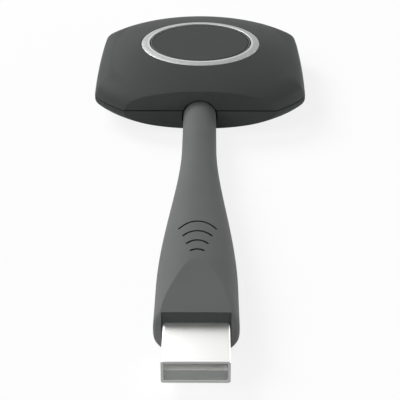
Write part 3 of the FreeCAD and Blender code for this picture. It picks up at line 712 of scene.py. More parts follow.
def lower_profile(angle):
    """Closed profile of the lower cover in a direction."""
    seam = parting_height - seam_gap / 2
    bowl_top = parting_height - rim_band
    depth = bowl_top - floor_low
    flat, inner_flat = front_distance(angle), front_distance(angle, shell_wall)
    reach = outline(angle)
    low_edge = 0.0
    if reach > flat:
        low_edge = crossing(lambda level: reach * bowl_share(level) > flat, 0.0, 1.0)
    pad_edge = reach * bowl_flat_share - pad_inset + slip
    corners = [(0, pad_top, 0), (pad_edge, pad_top, 0), (pad_edge, floor_low, floor_round)]
    for step in range(bowl_steps):
        level = 1 - (1 - low_edge) * step / bowl_steps
        corners.append((reach * bowl_share(level), bowl_top - depth * level, 0))
    rim = min(flat, reach)
    corners.append((rim, bowl_top - depth * low_edge, facet_round if low_edge > 0 else unrounded))
    corners += [(rim, bowl_top, 0), (rim, seam, edge_round)]
    step_outer = min(reach - seam_depth, front_distance(angle, seam_depth))
    step_inner = min(reach - shell_wall, inner_flat)
    corners += [(step_outer, seam, 0), (step_outer, seam + seam_gap, 0), (step_inner, seam + seam_gap, 0)]
    for step in range(0, bowl_steps + 1, 2):
        level = step / bowl_steps
        radius = min((reach - shell_wall) * bowl_share(level), inner_flat)
        corners.append((radius, bowl_top - (depth - shell_wall) * level, 0))
    corners.append((0, floor_low + shell_wall, 0))
    return rounded(corners)


screw_inset, screw_front, screw_back = 10.5, -8.6, 15.0
screw_across = side_reach - screw_inset
screw_places = [(side * screw_across, place) for side in (-1, 1) for place in (screw_front, screw_back)]
well_radius, well_top, well_wall = 1.95, 2.1, 1.2
boss_sink = 0.6
screw_bore = 1.1
board_low = corner_of("main_board", 0).z
past = 1.0


def posts(name, low, high, radius, sides=48):
    """Upright round bars at the places of the screws."""
    circle = [(radius * math.cos(turn), radius * math.sin(turn)) for turn in around(sides)]
    return bars(name, [[[(x + across, y + along, z) for across, along in circle] for z in (low, high)]
                       for x, y in screw_places])


lower_cover = new_piece("lower_cover", *skin(turned(lower_profile, angles)))
cut_with(lower_cover, posts("bosses", floor_low + boss_sink, board_low, well_radius + well_wall), "UNION")
cut_with(lower_cover, posts("wells", floor_low - past, well_top, well_radius))
cut_with(lower_cover, posts("bores", floor_low, board_low + past, screw_bore))
cut_neck_hole(lower_cover)
finish_piece(lower_cover, "cover_plastic", "head", "bottom_cover")

# %% [markdown]
# The stem is one soft moulding, round at the neck and widening into a boot round the plug. A curve
# with a changing bevel could draw it, but not the boot's squarer shape. So each section is two half
# superellipses that share a width, a crown above and a keel below. The flat facet on the boot clips
# the sections, and every ring has a point exactly on the facet's edge, so the edge is clean.

# %% Sections of the stem
neck_radius = 3.98
flare_start, flare_length = 44.0, 60.0
boot_half_width, boot_crown, boot_keel = 7.8, 6.5, 4.45
square_start, square_length = 104.0, 14.0
crown_power_added, keel_power_added = 0.6, 1.0
stem_start = -corner_of("stem_sleeve", 1).y
boot_front = -corner_of("stem_sleeve", 0).y
facet_start, facet_high, facet_low = 102.3, neck_axis + boot_crown, 9.25
side_steps, facet_steps = 84, 18


def facet_height(distance):
    """Height of the boot's flat facet, which is above the stem wherever it doesn't clip it."""
    share = (distance - facet_start) / (boot_front - facet_start)
    return facet_high + (facet_low - facet_high) * share


def stem_measures(distance):
    """Half width, crown, keel and their two powers at a distance in front of the button."""
    flare = smooth_share((distance - flare_start) / flare_length)
    sizes = [neck_radius + (end - neck_radius) * flare for end in (boot_half_width, boot_crown, boot_keel)]
    crown_power = 2 + crown_power_added * smooth_share((distance - square_start) / square_length)
    return *sizes, crown_power, 2 + keel_power_added * flare


def section_point(distance, turn):
    """Point (x, z) of the section at a turn from straight up, before the facet clips it."""
    half_width, crown, keel, crown_power, keel_power = stem_measures(distance)
    across, up = math.sin(turn), math.cos(turn)
    height, power = (crown, crown_power) if up > 0 else (keel, keel_power)
    reach = (abs(across) ** power + abs(up) ** power) ** (-1 / power)
    return half_width * across * reach, neck_axis + height * up * reach


def facet_turn(distance):
    """Turn at which the facet's edge cuts the section, or 0 where the facet is above it."""
    height = facet_height(distance)
    if section_point(distance, 0.0)[1] <= height:
        return 0.0
    return crossing(lambda turn: section_point(distance, turn)[1] > height, 0.0, math.pi / 2)


@functools.lru_cache(maxsize=None)
def stem_section(distance):
    """Closed section, from the facet's right edge round below to its left edge and back across the top."""
    edge = facet_turn(distance)
    corner = edge_round if edge > 0 else unrounded
    corners = []
    for step in range(side_steps + 1):
        turn = edge + (math.tau - 2 * edge) * step / side_steps
        corners.append((*section_point(distance, turn), corner if step in (0, side_steps) else 0))
    half_width, height = section_point(distance, edge)
    for step in range(1, facet_steps):
        corners.append((half_width * (2 * step / facet_steps - 1), height, 0))
    return rounded(corners)


print("half width, crown and keel of the neck:", [round(size, 2) for size in stem_measures(stem_start)[:3]])

# %% [markdown]
# Rings stand close together where the arcs are engraved and where the facet begins, and a millimetre
# apart on the neck, which has to bend smoothly. The boot's front edge is rounded little at the top and
# a lot at the sides, as in the photograph. A bevel would round it the same all the way, so the last
# rings are drawn in towards the axis instead.

# %% Stem
front_round, side_round = 0.3, 1.5
side_round_from, side_round_to = 0.72, 0.97
front_steps = 7
arcs_start, arcs_step, boot_step = 83.0, 0.45, 0.9
ring_gap = 0.1
after_apex = (0.0, 0.04, 0.12, 0.25, 0.45, 0.7, 1.0, 1.5, 2.0, 2.7, 3.5, 4.5)


def front_radius_at(x, z):
    """Rounding of the boot's front edge at a point of its section."""
    sideways = abs(x) / math.hypot(x, z - neck_axis)
    share = smooth_share((sideways - side_round_from) / (side_round_to - side_round_from))
    return front_round + (side_round - front_round) * share


def stem_rings():
    """Rings of the stem, from the end inside the head to the rounded front of the boot."""
    apex = crossing(lambda distance: facet_turn(distance) == 0, facet_start - 1, facet_start + 2)
    stations = [stem_start, stem_start + edge_round]
    stations += [stem_start + step for step in range(1, math.ceil(arcs_start - stem_start))]
    fine_steps = math.ceil((apex - ring_gap - arcs_start) / arcs_step)
    stations += [arcs_start + arcs_step * step for step in range(fine_steps)]
    stations += [apex + step for step in after_apex]
    last, end = stations[-1], boot_front - side_round - ring_gap
    count = math.ceil((end - last) / boot_step)
    stations += [last + (end - last) * step / count for step in range(1, count + 1)]
    rings = [[(point.x, -distance, point.y) for point in stem_section(distance)] for distance in stations]
    radii = [front_radius_at(point.x, point.y) for point in stem_section(boot_front)]
    for step in range(front_steps):
        turn = math.pi / 2 * step / (front_steps - 1)
        ring = []
        for index, radius in enumerate(radii):
            distance = round(boot_front - radius * (1 - math.sin(turn)), 2)
            point = stem_section(distance)[index]
            kept = 1 - radius * (1 - math.cos(turn)) / math.hypot(point.x, point.y - neck_axis)
            ring.append((point.x * kept, -distance, neck_axis + (point.y - neck_axis) * kept))
        rings.append(ring)
    print("stem rings:", len(rings), "of", len(rings[0]), "points")
    return rings


stem = bars("stem", [stem_rings()])

# %% [markdown]
# Four arcs are engraved across the stem behind the boot. A bump in the finish would show no edge from
# the side, so they are cut. Each cutter is a narrow bar with a round bottom and round ends, bent to
# its arc, and it follows the stem's surface so that every groove is equally deep.

# %% Engraved arcs
arc_places = (87.7, 91.8, 95.6, 99.1)
arc_radii = (4.6, 3.7, 2.6, 2.1)
arc_half_angles = (51.0, 47.5, 49.0, 34.5)
arc_width, arc_depth, arc_above = 0.55, 0.5, 0.6
arc_steps, arc_end_steps, arc_bottom_steps = 40, 4, 8
# The last ring of an end stops short of a point by this part of a step, so that its cap is a face
arc_end_left = 0.2


def surface_height(x, distance):
    """Height of the stem's upper surface."""
    half_width, crown, _, power, _ = stem_measures(distance)
    return min(neck_axis + crown * (1 - abs(x / half_width) ** power) ** (1 / power), facet_height(distance))


def arc_cutter(place, radius, half_angle):
    """Rings of a groove cutter, each a U in the plane across the arc."""
    rings = []
    bottom = [math.pi * index / arc_bottom_steps for index in range(arc_bottom_steps + 1)]
    for step in range(-arc_end_steps, arc_steps + arc_end_steps + 1):
        outside = max(0, -step) + max(0, step - arc_steps)
        end_turn = math.pi / 2 * outside / (arc_end_steps + arc_end_left)
        width = arc_width / 2 * math.cos(end_turn)
        beyond = arc_width / 2 * math.sin(end_turn) * (-1 if step < 0 else 1)
        turn = math.radians(half_angle) * (2 * min(max(step, 0), arc_steps) / arc_steps - 1) + beyond / radius
        profile = [(width * math.cos(angle), -arc_depth + width * (1 - math.sin(angle))) for angle in bottom]
        profile = [(width, arc_above), *profile, (-width, arc_above)]
        height = surface_height(radius * math.sin(turn), place + radius - radius * math.cos(turn))
        rings.append([
            ((radius + out) * math.sin(turn), (radius + out) * math.cos(turn) - place - radius, height + up)
            for out, up in profile
        ])
    return rings


cut_with(stem, bars("arcs", [arc_cutter(*arc) for arc in zip(arc_places, arc_radii, arc_half_angles)]))
print("arcs engraved:", len(arc_places))

# %% [markdown]
# The stem is hollow. A round bore takes the cable, a square room the hard core that holds the plug, and a
# rounded slot in the front lets the plug's shell out. The front has a shallow recess, whose face gets the
# darker cover plastic as painted shade. All of them are cuts, and the bore's cutter has a ring every
# millimetre too, because the inner wall bends as much as the outer one: a straight face in it would poke
# through the neck.

# %% Hollow of the stem
plug_low, plug_high = corner_of("plug_shell", 0), corner_of("plug_shell", 1)
plug_corner = 0.45
core_low, core_high = corner_of("plug_core", 0), corner_of("plug_core", 1)
bore_radius = 1.95
plate_depth, plate_half_width, plate_low = 0.35, 6.25, 2.2
quarters = ((1, 1), (-1, 1), (-1, -1), (1, -1))
least_corner = 0.1


def plug_ring(distance, inset=0.0, steps=6):
    """Rounded rectangle of the plug's section, as a ring of points."""
    half_width = plug_high.x - inset
    half_height = (plug_high.z - plug_low.z) / 2 - inset
    radius = max(plug_corner - inset, least_corner)
    ring = []
    for index, (side, up) in enumerate(quarters):
        for step in range(steps + 1):
            turn = math.pi / 2 * (index + step / steps)
            x = side * (half_width - radius) + radius * math.cos(turn)
            z = up * (half_height - radius) + radius * math.sin(turn)
            ring.append((x, -distance, neck_axis + z))
    return ring


bore_start, bore_end = stem_start - past, -core_high.y + past / 2
bore_steps = math.ceil(bore_end - bore_start)
bore_places = [bore_start + (bore_end - bore_start) * index / bore_steps for index in range(bore_steps + 1)]
plate_block = block((-plate_half_width, -boot_front - past, plate_low),
                    (plate_half_width, plate_depth - boot_front, facet_high + past))
cut_with(stem, bars("cable_bore", [round_bar(bore_radius, bore_places, 48)]))
cut_with(stem, bars("core_room", [block(core_low, core_high)]))
cut_with(stem, bars("plug_slot", [[plug_ring(-core_low.y - past), plug_ring(boot_front + past)]]))
cut_with(stem, bars("plate_recess", [plate_block]))
print("stem faces after the cuts:", len(stem.data.polygons))

# %% [markdown]
# The stem has three finishes: the elastomer, the darker cover plastic on the front recess as painted shade,
# and a dark elastomer in the grooves as painted shade. Each cut face is told by where it lies, because a cut
# keeps no name for its faces. Then the piece has its place baked into its mesh, and it gets no body.

# %% Finishes of the stem
shade_plate_index, groove_shade_index = 1, 2
finish_piece(stem, "stem_rubber", None, "stem_sleeve")
for slot in ("cover_plastic", "groove_painted_shade"):
    stem.data.materials.append(finishes[slot])
groove_back, groove_front = arc_places[0] - arc_width, arc_places[-1] + arc_radii[-1]
skin_depth, groove_low = 0.04, arc_depth + 0.1
facing_forward = -0.9
for face in stem.data.polygons:
    x, distance, z = face.center.x / mm, -face.center.y / mm, face.center.z / mm
    # The face of the front recess gets the darker cover plastic as painted shade
    if abs(distance - boot_front + plate_depth) < merge_distance and face.normal.y < facing_forward:
        face.material_index = shade_plate_index
    # Faces inside the grooves get a dark elastomer as painted shade
    elif groove_back < distance < groove_front and abs(x) < arc_radii[0] and z > neck_axis:
        if skin_depth < surface_height(x, distance) - z < groove_low:
            face.material_index = groove_shade_index


def bend_with_neck(piece):
    """Bakes a piece's place into its mesh."""
    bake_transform(piece)


bend_with_neck(stem)
print("faces with painted groove shade:", sum(face.material_index == groove_shade_index for face in stem.data.polygons))

# %% [markdown]
# The round trim was turned on a lathe, so its rule is one section swept round an axis. Spinning a
# profile in mesh code would do, but a node tree keeps the sizes as named inputs: a quadrilateral has
# its corners filleted and runs round a circle. The soft ring under the button comes from the same tree.

# %% A tree for turned rings
def start_tree(name, sizes, counts=()):
    """Geometry tree whose named inputs are sizes in metres or turns, counts and a material."""
    tree = bpy.data.node_groups.new(name, "GeometryNodeTree")
    tree.interface.new_socket("Geometry", in_out="OUTPUT", socket_type="NodeSocketGeometry")
    kinds = {**dict.fromkeys(sizes, "Float"), **dict.fromkeys(counts, "Int"), "Material": "Material"}
    for title, kind in kinds.items():
        tree.interface.new_socket(title, in_out="INPUT", socket_type="NodeSocket" + kind)
    return tree, tree.nodes.new("NodeGroupInput").outputs


def end_tree(tree, geometry, material):
    """Last nodes of every tree: instances become real, and the material is set."""
    real = add_node(tree, "GeometryNodeRealizeInstances", links={"Geometry": geometry})
    finished = add_node(tree, "GeometryNodeSetMaterial",
                        links={"Geometry": real.outputs[0], "Material": material})
    add_node(tree, "NodeGroupOutput", links={"Geometry": finished.outputs[0]})
    return tree


def grow(name, tree, slot, values):
    """Plain mesh piece from a tree, with each input set by its socket's identifier."""
    piece = in_scene(name, bpy.data.meshes.new(name))
    modifier = piece.modifiers.new("tree", "NODES")
    modifier.node_group = tree
    for socket in tree.interface.items_tree:
        if socket.in_out == "INPUT":
            modifier[socket.identifier] = finishes[slot] if socket.name == "Material" else values[socket.name]
    make_plain(piece)
    return piece


edge_steps = 4


def turned_ring_tree():
    """Sweeps a section with a sloping top round an axis."""
    sizes = ("Inner", "Outer", "Low", "Inner top", "Outer top", "Edge")
    tree, size = start_tree("turned ring", sizes, ("Steps",))
    section = add_node(tree, "GeometryNodeCurvePrimitiveQuadrilateral", {"mode": "POINTS"})
    corners = (("Inner", "Low"), ("Inner", "Inner top"), ("Outer", "Outer top"), ("Outer", "Low"))
    for index, (reach, height) in enumerate(corners):
        offset = add_node(tree, "ShaderNodeMath", {"operation": "SUBTRACT"},
                          {0: size[reach], 1: size["Inner"]})
        turned_over = add_node(tree, "ShaderNodeMath", {"operation": "MULTIPLY", 1: -1.0}, {0: size[height]})
        point = add_node(tree, "ShaderNodeCombineXYZ",
                         links={0: offset.outputs[0], 1: turned_over.outputs[0]})
        tree.links.new(point.outputs[0], section.inputs[f"Point {index + 1}"])
    soft = add_node(tree, "GeometryNodeFilletCurve", {"mode": "POLY", "Count": edge_steps},
                    {"Curve": section.outputs[0], "Radius": size["Edge"]})
    path = add_node(tree, "GeometryNodeCurvePrimitiveCircle",
                    links={"Resolution": size["Steps"], "Radius": size["Inner"]})
    swept = add_node(tree, "GeometryNodeCurveToMesh",
                     links={"Curve": path.outputs[0], "Profile Curve": soft.outputs[0]})
    return end_tree(tree, swept.outputs[0], size["Material"])


turned_ring = turned_ring_tree()


def ring_from_node(name, node, slot, inner, slope, edge, steps):
    """Turned ring that takes its outer radius and its heights from a model node."""
    low, high = corner_of(node, 0), corner_of(node, 1)
    ring = grow(name, turned_ring, slot, {
        "Inner": inner * mm, "Outer": high.x * mm, "Low": low.z * mm, "Inner top": high.z * mm,
        "Outer top": (high.z - slope) * mm, "Edge": edge * mm, "Steps": steps,
    })
    finish_piece(ring, slot, "head", node)
    return ring


# %% [markdown]
# The trim ring frames the button. Its top slopes outwards to meet the crown, and its edges are only
# just broken, as a lathe tool leaves them. Smooth shading would hide coarse steps on its top, but the
# thin bright outline would still show every corner, so it takes many steps.

# %% Trim ring
ring_width, ring_slope, ring_edge, ring_steps = 2.1, 0.35, 0.16, 256
ring_from_node("ring", "trim_ring", "ring_metal", ring_outer - ring_width, ring_slope, ring_edge, ring_steps)

# %% [markdown]
# The return ring is soft silicone, which lifts the button again after a press: its foot stays and its top
# goes down. Here it is turned from the same tree as the trim ring, rides on the head and keeps a mesh of its
# own.

# %% Return ring under the button
soft_bore, soft_edge, soft_steps = 4.6, 0.3, 96
return_ring = ring_from_node("spring_ring", "return_ring", "silicone", soft_bore, 0.0, soft_edge, soft_steps)
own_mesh(return_ring)

# %% [markdown]
# Four screws hold the covers together. They sit deep in wells in the lower cover and show only from
# below. Four copies could be placed by hand, but then a change of the screw would have to be made four
# times. So one screw is turned and gets its cross recess, and a tree sets it at the corners of a grid,
# each turned by chance as a screwdriver leaves them.

# %% Cover screws
head_height, head_gap = 1.2, 0.1
screw_seat = pad_top + head_gap + head_height
screw_end = corner_of("cover_screws", 1).z
screw_head, screw_shank, screw_tip = 1.8, 0.95, 0.4
pan_round, seat_edge = 0.35, 0.08
cross_width, cross_length, cross_low, cross_high, cross_taper = 0.5, 2.3, -1.7, -0.7, 0.8
screw_sides = 40


def turned_screw():
    """Pan-head screw with its head down and a cross recess cut into it."""
    profile = rounded([
        (0, screw_seat - head_height, 0), (screw_head, screw_seat - head_height, pan_round),
        (screw_head, screw_seat, seat_edge), (screw_shank, screw_seat, 0),
        (screw_shank, screw_end - screw_tip, 0), (screw_shank - screw_tip, screw_end, 0), (0, screw_end, 0),
    ])
    screw = new_piece("screw", *skin(turned(lambda turn: profile, around(screw_sides)), closed_ring=False))
    for width, length in ((cross_width, cross_length), (cross_length, cross_width)):
        blade = [[(x * width / 2 * share, y * length / 2 * share, screw_seat + height) for x, y in quarters]
                 for height, share in ((cross_low, 1), (cross_high, cross_taper))]
        cut_with(screw, bars("recess", [blade]))
    return screw


def screws_tree(template):
    """Sets a template at the four corners of a grid."""
    tree, size = start_tree("cover screws", ("Across", "Along", "Middle"))
    grid = add_node(tree, "GeometryNodeMeshGrid", {"Vertices X": 2, "Vertices Y": 2},
                    {"Size X": size["Across"], "Size Y": size["Along"]})
    middle = add_node(tree, "ShaderNodeCombineXYZ", links={1: size["Middle"]})
    moved = add_node(tree, "GeometryNodeTransform",
                     links={"Geometry": grid.outputs[0], "Translation": middle.outputs[0]})
    screw = add_node(tree, "GeometryNodeObjectInfo", {"Object": template})
    turns = add_node(tree, "FunctionNodeRandomValue", {"data_type": "FLOAT", 3: math.tau, "Seed": 3})
    turn = add_node(tree, "ShaderNodeCombineXYZ", links={2: turns.outputs[1]})
    placed = add_node(tree, "GeometryNodeInstanceOnPoints",
                      links={"Points": moved.outputs[0], "Instance": screw.outputs["Geometry"],
                             "Rotation": turn.outputs[0]})
    return end_tree(tree, placed.outputs[0], size["Material"])


template = turned_screw()
screws = grow("case_screws", screws_tree(template), "screw_steel", {
    "Across": 2 * screw_across * mm, "Along": (screw_back - screw_front) * mm,
    "Middle": (screw_back + screw_front) / 2 * mm,
})
bpy.data.objects.remove(template)
finish_piece(screws, "screw_steel", "head", "cover_screws")

# %% [markdown]
# The head stands on a soft rubber foot, a disc in the outline of the head at a smaller size. The flat
# of the lower cover could be copied and moved down, but it would have no round lower edge, which keeps
# the foot from catching on a table. So the outline's rule serves again, with a short profile.

# %% Rubber foot
foot_round = 0.22


def foot_profile(angle):
    """Closed profile of the foot in a direction."""
    edge = outline(angle) * bowl_flat_share - pad_inset
    return rounded([(0, 0, 0), (edge, 0, foot_round), (edge, pad_top, 0), (0, pad_top, 0)])


foot = new_piece("foot", *skin(turned(foot_profile, angles)))
finish_piece(foot, "foot_rubber", "head", "base_pad")

# %% [markdown]
# The plug's shell is sheet metal folded into a rounded box: thin even walls, a cut front edge that is
# duller than the sheet, two windows underneath where the socket's springs catch, and the fold's seam
# between them. A solidified sheet would be as thin, but its cut edge needs a rounding of its own, so
# the rings run along the outside, round the edge and back along the inside.

# %% Plug shell
plug_tip, plug_rear = -plug_low.y, -plug_high.y
plug_wall = 0.5
rim_round, rim_steps = 0.08, 4
window_spread, window_width, window_length, window_place = 3.0, 2.5, 1.95, 6.1
fold_half_width, fold_depth = 0.04, 0.12
shaded_rim_index, facing_tip = 1, -0.6


def shell_rings():
    """Rings of the plug's shell, outside towards the tip and inside back again."""
    quarter = [math.pi / 2 * step / rim_steps for step in range(rim_steps + 1)]
    rings = [plug_ring(plug_rear), plug_ring((plug_rear + boot_front) / 2), plug_ring(boot_front)]
    for turn in quarter:
        rings.append(plug_ring(plug_tip - rim_round * (1 - math.sin(turn)), rim_round * (1 - math.cos(turn))))
    for turn in quarter:
        inset = plug_wall - rim_round * (1 - math.sin(turn))
        rings.append(plug_ring(plug_tip - rim_round * (1 - math.cos(turn)), inset))
    return rings + [plug_ring(boot_front, plug_wall), plug_ring(plug_rear, plug_wall)]


plug_shell = new_piece("plug_box", *skin(shell_rings()))
window_middle = window_place - plug_tip
cuts = [block((-fold_half_width, -plug_tip - past, plug_low.z - past),
              (fold_half_width, -boot_front, plug_low.z + fold_depth))]
for side in (-1, 1):
    cuts.append(block(
        (side * window_spread - window_width / 2, window_middle - window_length / 2, plug_low.z - past),
        (side * window_spread + window_width / 2, window_middle + window_length / 2,
         plug_low.z + plug_wall + slip)))
cut_with(plug_shell, bars("windows", cuts))
finish_piece(plug_shell, "plug_metal", "plug", "plug_shell")
plug_shell.data.materials.append(finishes["plug_rim"])
# The forward faces of the cut edge get the darker colour as painted shade
for face in plug_shell.data.polygons:
    if face.center.y < (rim_round / 2 - plug_tip) * mm and face.normal.y < facing_tip:
        face.material_index = shaded_rim_index

# %% [markdown]
# The cable inside the stem never shows, but it has to bend with the neck. The model's own tube could
# be kept, but a long straight face can't bend, so the jacket is built again with a ring every two
# millimetres.

# %% Cable jacket
jacket_start, jacket_end = -corner_of("cable_jacket", 1).y, -corner_of("cable_jacket", 0).y
jacket_length = jacket_end - jacket_start
jacket_radius, jacket_wall, jacket_round, jacket_step, jacket_sides = 1.9, 0.4, 0.1, 2.0, 48


def jacket_rings():
    """Closed profile of the jacket's wall in every direction round the cable."""
    count = math.ceil(jacket_length / jacket_step)
    wall = [(-jacket_start - jacket_length * index / count, jacket_round if index in (0, count) else 0)
            for index in range(count + 1)]
    corners = [(jacket_radius - jacket_wall, y, edge) for y, edge in reversed(wall)]
    profile = rounded(corners + [(jacket_radius, y, edge) for y, edge in wall])
    return [[(point.x * math.cos(turn), point.y, neck_axis + point.x * math.sin(turn)) for point in profile]
            for turn in around(jacket_sides)]


jacket = new_piece("jacket", *skin(jacket_rings()))
finish_piece(jacket, "jacket_vinyl", None, "cable_jacket")
bend_with_neck(jacket)

# %% [markdown]
# The shield under the jacket is a braid. A tube with a woven pattern would look the same from afar,
# but the braid is made here as it is on a machine: strands wound both ways round the wires. One spiral
# is repeated round the axis, and so is its mirror image.

# %% Braided shield
strand_radius, strand_gap = 0.07, 0.01
strand_circle = jacket_radius - jacket_wall - strand_radius - strand_gap
strand_count, strand_turns, strand_sides, turn_steps = 10, 9.0, 6, 18


def braid_tree():
    """Winds strands both ways round an axis and lays them along the stem."""
    tree, size = start_tree("braid", ("Radius", "Length", "Start", "Height", "Strand", "Turns"), ("Strands",))
    step = add_node(tree, "ShaderNodeMath", {"operation": "DIVIDE", 0: math.tau}, {1: size["Strands"]})
    index = add_node(tree, "GeometryNodeInputIndex")
    turn = add_node(tree, "ShaderNodeMath", {"operation": "MULTIPLY"},
                    {0: step.outputs[0], 1: index.outputs[0]})
    direction = add_node(tree, "ShaderNodeCombineXYZ", links={2: turn.outputs[0]})
    strands = add_node(tree, "GeometryNodePoints", links={"Count": size["Strands"]})
    section = add_node(tree, "GeometryNodeCurvePrimitiveCircle", {"Resolution": strand_sides},
                       {"Radius": size["Strand"]})
    both = add_node(tree, "GeometryNodeJoinGeometry")
    for reverse in (False, True):
        spiral = add_node(tree, "GeometryNodeCurveSpiral", {"Resolution": turn_steps, "Reverse": reverse},
                          {"Rotations": size["Turns"], "Start Radius": size["Radius"],
                           "End Radius": size["Radius"], "Height": size["Length"]})
        strand = add_node(tree, "GeometryNodeCurveToMesh", {"Fill Caps": True},
                          {"Curve": spiral.outputs[0], "Profile Curve": section.outputs[0]})
        wound = add_node(tree, "GeometryNodeInstanceOnPoints",
                         links={"Points": strands.outputs[0], "Instance": strand.outputs[0],
                                "Rotation": direction.outputs[0]})
        tree.links.new(wound.outputs[0], both.inputs[0])
    place = add_node(tree, "ShaderNodeCombineXYZ", links={1: size["Start"], 2: size["Height"]})
    laid = add_node(tree, "GeometryNodeTransform", {"Rotation": (math.pi / 2, 0, 0)},
                    {"Geometry": both.outputs[0], "Translation": place.outputs[0]})
    return end_tree(tree, laid.outputs[0], size["Material"])


braid = grow("braid_strands", braid_tree(), "braid", {
    "Radius": strand_circle * mm, "Length": jacket_length * mm, "Start": -jacket_start * mm,
    "Height": neck_axis * mm, "Strand": strand_radius * mm, "Strands": strand_count, "Turns": strand_turns,
})
finish_piece(braid, "braid", None, "cable_shield")
bend_with_neck(braid)

# %% [markdown]
# Four insulated wires run from the connector under the board, through the cable, to the plug's
# contacts. Each could be a bevelled curve, but then a long straight run would have no rings to bend
# at. So each route is a few straight runs, and a tree fillets its corners, resamples it finely and
# sweeps a round section along it.

# %% Wires
wire_radius, wire_offset, wire_bend, wire_step = 0.45, 0.52, 1.4, 0.7
wire_sides, wire_bend_steps = 14, 6
lead_pitch, lead_drop, lead_end, lead_turn, cable_entry = 1.9, 1.25, -8.7, -11.4, -13.8
tail_turn, tail_end, half_contact = -104.1, -105.0, 0.125
lead_height = board_low - lead_drop
tail_height = corner_of("plug_contacts", 0).z + half_contact
contact_places = (-3.5, -1.0, 1.0, 3.5)
places_in_cable = ((-1, -1), (-1, 1), (1, 1), (1, -1))


def wire_routes():
    """Curve object with one straight-sided route for each wire."""
    data = bpy.data.curves.new("routes", "CURVE")
    data.dimensions = "3D"
    middle = (len(contact_places) - 1) / 2
    for index, (tail, (side, up)) in enumerate(zip(contact_places, places_in_cable)):
        lead = lead_pitch * (index - middle)
        x, z = side * wire_offset, neck_axis + up * wire_offset
        route = [(lead, lead_end, lead_height), (lead, lead_turn, lead_height), (x, cable_entry, z),
                 (x, -jacket_end, z), (tail, tail_turn, tail_height), (tail, tail_end, tail_height)]
        spline = data.splines.new("POLY")
        spline.points.add(len(route) - 1)
        for point, spot in zip(spline.points, route):
            point.co = (*(Vector(spot) * mm), 1.0)
    return in_scene("routes", data)


def wires_tree(routes):
    """Sweeps a round section along routes, and numbers the wires from 0 to 1."""
    tree, size = start_tree("wires", ("Radius", "Bend", "Step"))
    source = add_node(tree, "GeometryNodeObjectInfo", {"Object": routes})
    soft = add_node(tree, "GeometryNodeFilletCurve",
                    {"mode": "POLY", "Count": wire_bend_steps, "Limit Radius": True},
                    {"Curve": source.outputs["Geometry"], "Radius": size["Bend"]})
    fine = add_node(tree, "GeometryNodeResampleCurve", {"mode": "LENGTH"},
                    {"Curve": soft.outputs[0], "Length": size["Step"]})
    index = add_node(tree, "GeometryNodeInputIndex")
    number = add_node(tree, "ShaderNodeMath", {"operation": "DIVIDE", 1: len(contact_places) - 1.0},
                      {0: index.outputs[0]})
    numbered = add_node(tree, "GeometryNodeStoreNamedAttribute",
                        {"data_type": "FLOAT", "domain": "CURVE", "Name": "wire"},
                        {"Geometry": fine.outputs[0], "Value": number.outputs[0]})
    section = add_node(tree, "GeometryNodeCurvePrimitiveCircle", {"Resolution": wire_sides},
                       {"Radius": size["Radius"]})
    swept = add_node(tree, "GeometryNodeCurveToMesh", {"Fill Caps": True},
                     {"Curve": numbered.outputs[0], "Profile Curve": section.outputs[0]})
    return end_tree(tree, swept.outputs[0], size["Material"])


routes = wire_routes()
wires = grow("wires", wires_tree(routes), "wire_vinyl", {
    "Radius": wire_radius * mm, "Bend": wire_bend * mm, "Step": wire_step * mm,
})
bpy.data.objects.remove(routes)
finish_piece(wires, "wire_vinyl", None, "conductors")
bend_with_neck(wires)

# %% [markdown]
# The dongle lies on a plain pale floor that runs into a white background, as on a small photo table. A
# bright floor and a bright world would show so as well, but they would wash out the shadows. So both
# are white only for what is seen, by the camera, in reflections and through glass, and they add little
# light to the object. Seen from below the floor is clear, so that the underside can be looked at.

# %% Floor and world
floor_reach = 3.0
floor_height = -0.02 * mm
floor_glow = 0.85
world_light = 0.1


def seen_plainly(tree):
    """1 where the camera looks, straight, in a reflection or through glass, and 0 for other light."""
    path = add_node(tree, "ShaderNodeLightPath")
    seen = path.outputs["Is Camera Ray"]
    for way in ("Is Glossy Ray", "Is Transmission Ray"):
        either = add_node(tree, "ShaderNodeMath", {"operation": "MAXIMUM"}, {0: seen, 1: path.outputs[way]})
        seen = either.outputs[0]
    return seen


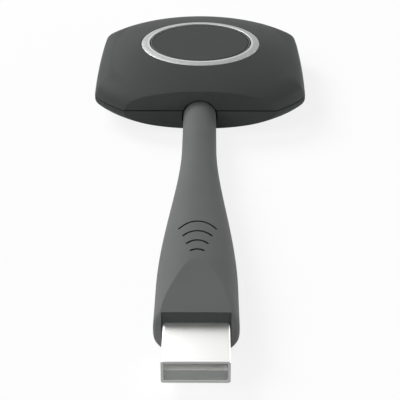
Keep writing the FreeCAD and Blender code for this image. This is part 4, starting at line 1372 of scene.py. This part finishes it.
floor_mesh = bpy.data.meshes.new("floor")
corners = [(x * floor_reach, y * floor_reach, floor_height) for x, y in ((-1, -1), (1, -1), (1, 1), (-1, 1))]
floor_mesh.from_pydata(corners, [], [(0, 1, 2, 3)])
floor = in_scene("floor", floor_mesh)
floor_finish, tree, shader, _ = start_material("floor_paper")
shader.inputs["Base Color"].default_value = linear("F7F7F7")
shader.inputs["Roughness"].default_value = 0.9
share = add_node(tree, "ShaderNodeMath", {"operation": "MULTIPLY", 1: floor_glow}, {0: seen_plainly(tree)})
glow = add_node(tree, "ShaderNodeEmission", {"Color": (1, 1, 1, 1), "Strength": 1.0})
mixed = add_node(tree, "ShaderNodeMixShader",
                 links={0: share.outputs[0], 1: shader.outputs[0], 2: glow.outputs[0]})
under = add_node(tree, "ShaderNodeNewGeometry")
clear = add_node(tree, "ShaderNodeBsdfTransparent")
one_sided = add_node(tree, "ShaderNodeMixShader",
                     links={0: under.outputs["Backfacing"], 1: mixed.outputs[0], 2: clear.outputs[0]})
output = next(node for node in tree.nodes if node.type == "OUTPUT_MATERIAL")
tree.links.new(one_sided.outputs[0], output.inputs["Surface"])
floor.data.materials.append(floor_finish)
print("floor reaches out to", floor_reach, "m")

world = bpy.data.worlds.new("world")
bpy.context.scene.world = world
world.use_nodes = True
tree = world.node_tree
tree.nodes.clear()
strength = add_node(tree, "ShaderNodeMapRange", {3: world_light, 4: 1.0}, {0: seen_plainly(tree)})
sky = add_node(tree, "ShaderNodeBackground", {"Color": (1, 1, 1, 1)}, {"Strength": strength.outputs[0]})
add_node(tree, "ShaderNodeOutputWorld", links={"Surface": sky.outputs[0]})

# %% [markdown]
# A sun lamp would be simpler, but it would draw hard shadows, so large square panels are used, each
# with its place and size in metres and its power in watts. The key stands behind on the left, which is
# why the left flanks are the brightest. A weaker fill from the front left lifts the faces that look at
# the camera, and two low panels on the right draw the light edge along the stem. Panels and world
# together give a level face about its own colour.

# %% Lamps
aim = Vector((0, -0.05, 0))
lamps = (
    ("key", (-1.0, 0.9, 1.1), 0.8, 26.2),
    ("fill", (-0.9, -0.7, 0.9), 1.0, 9.9),
    ("rim_front", (1.2, -0.7, 0.1), 0.4, 6.5),
    ("rim_back", (1.2, 0.7, 0.1), 0.4, 7.5),
)
for name, place, size, power in lamps:
    data = bpy.data.lights.new(name, "AREA")
    data.shape = "SQUARE"
    data.size = size
    data.energy = power
    light = in_scene(name, data)
    light.location = place
    light.rotation_euler = (aim - Vector(place)).to_track_quat("-Z", "Y").to_euler()
print("lamps:", len(lamps))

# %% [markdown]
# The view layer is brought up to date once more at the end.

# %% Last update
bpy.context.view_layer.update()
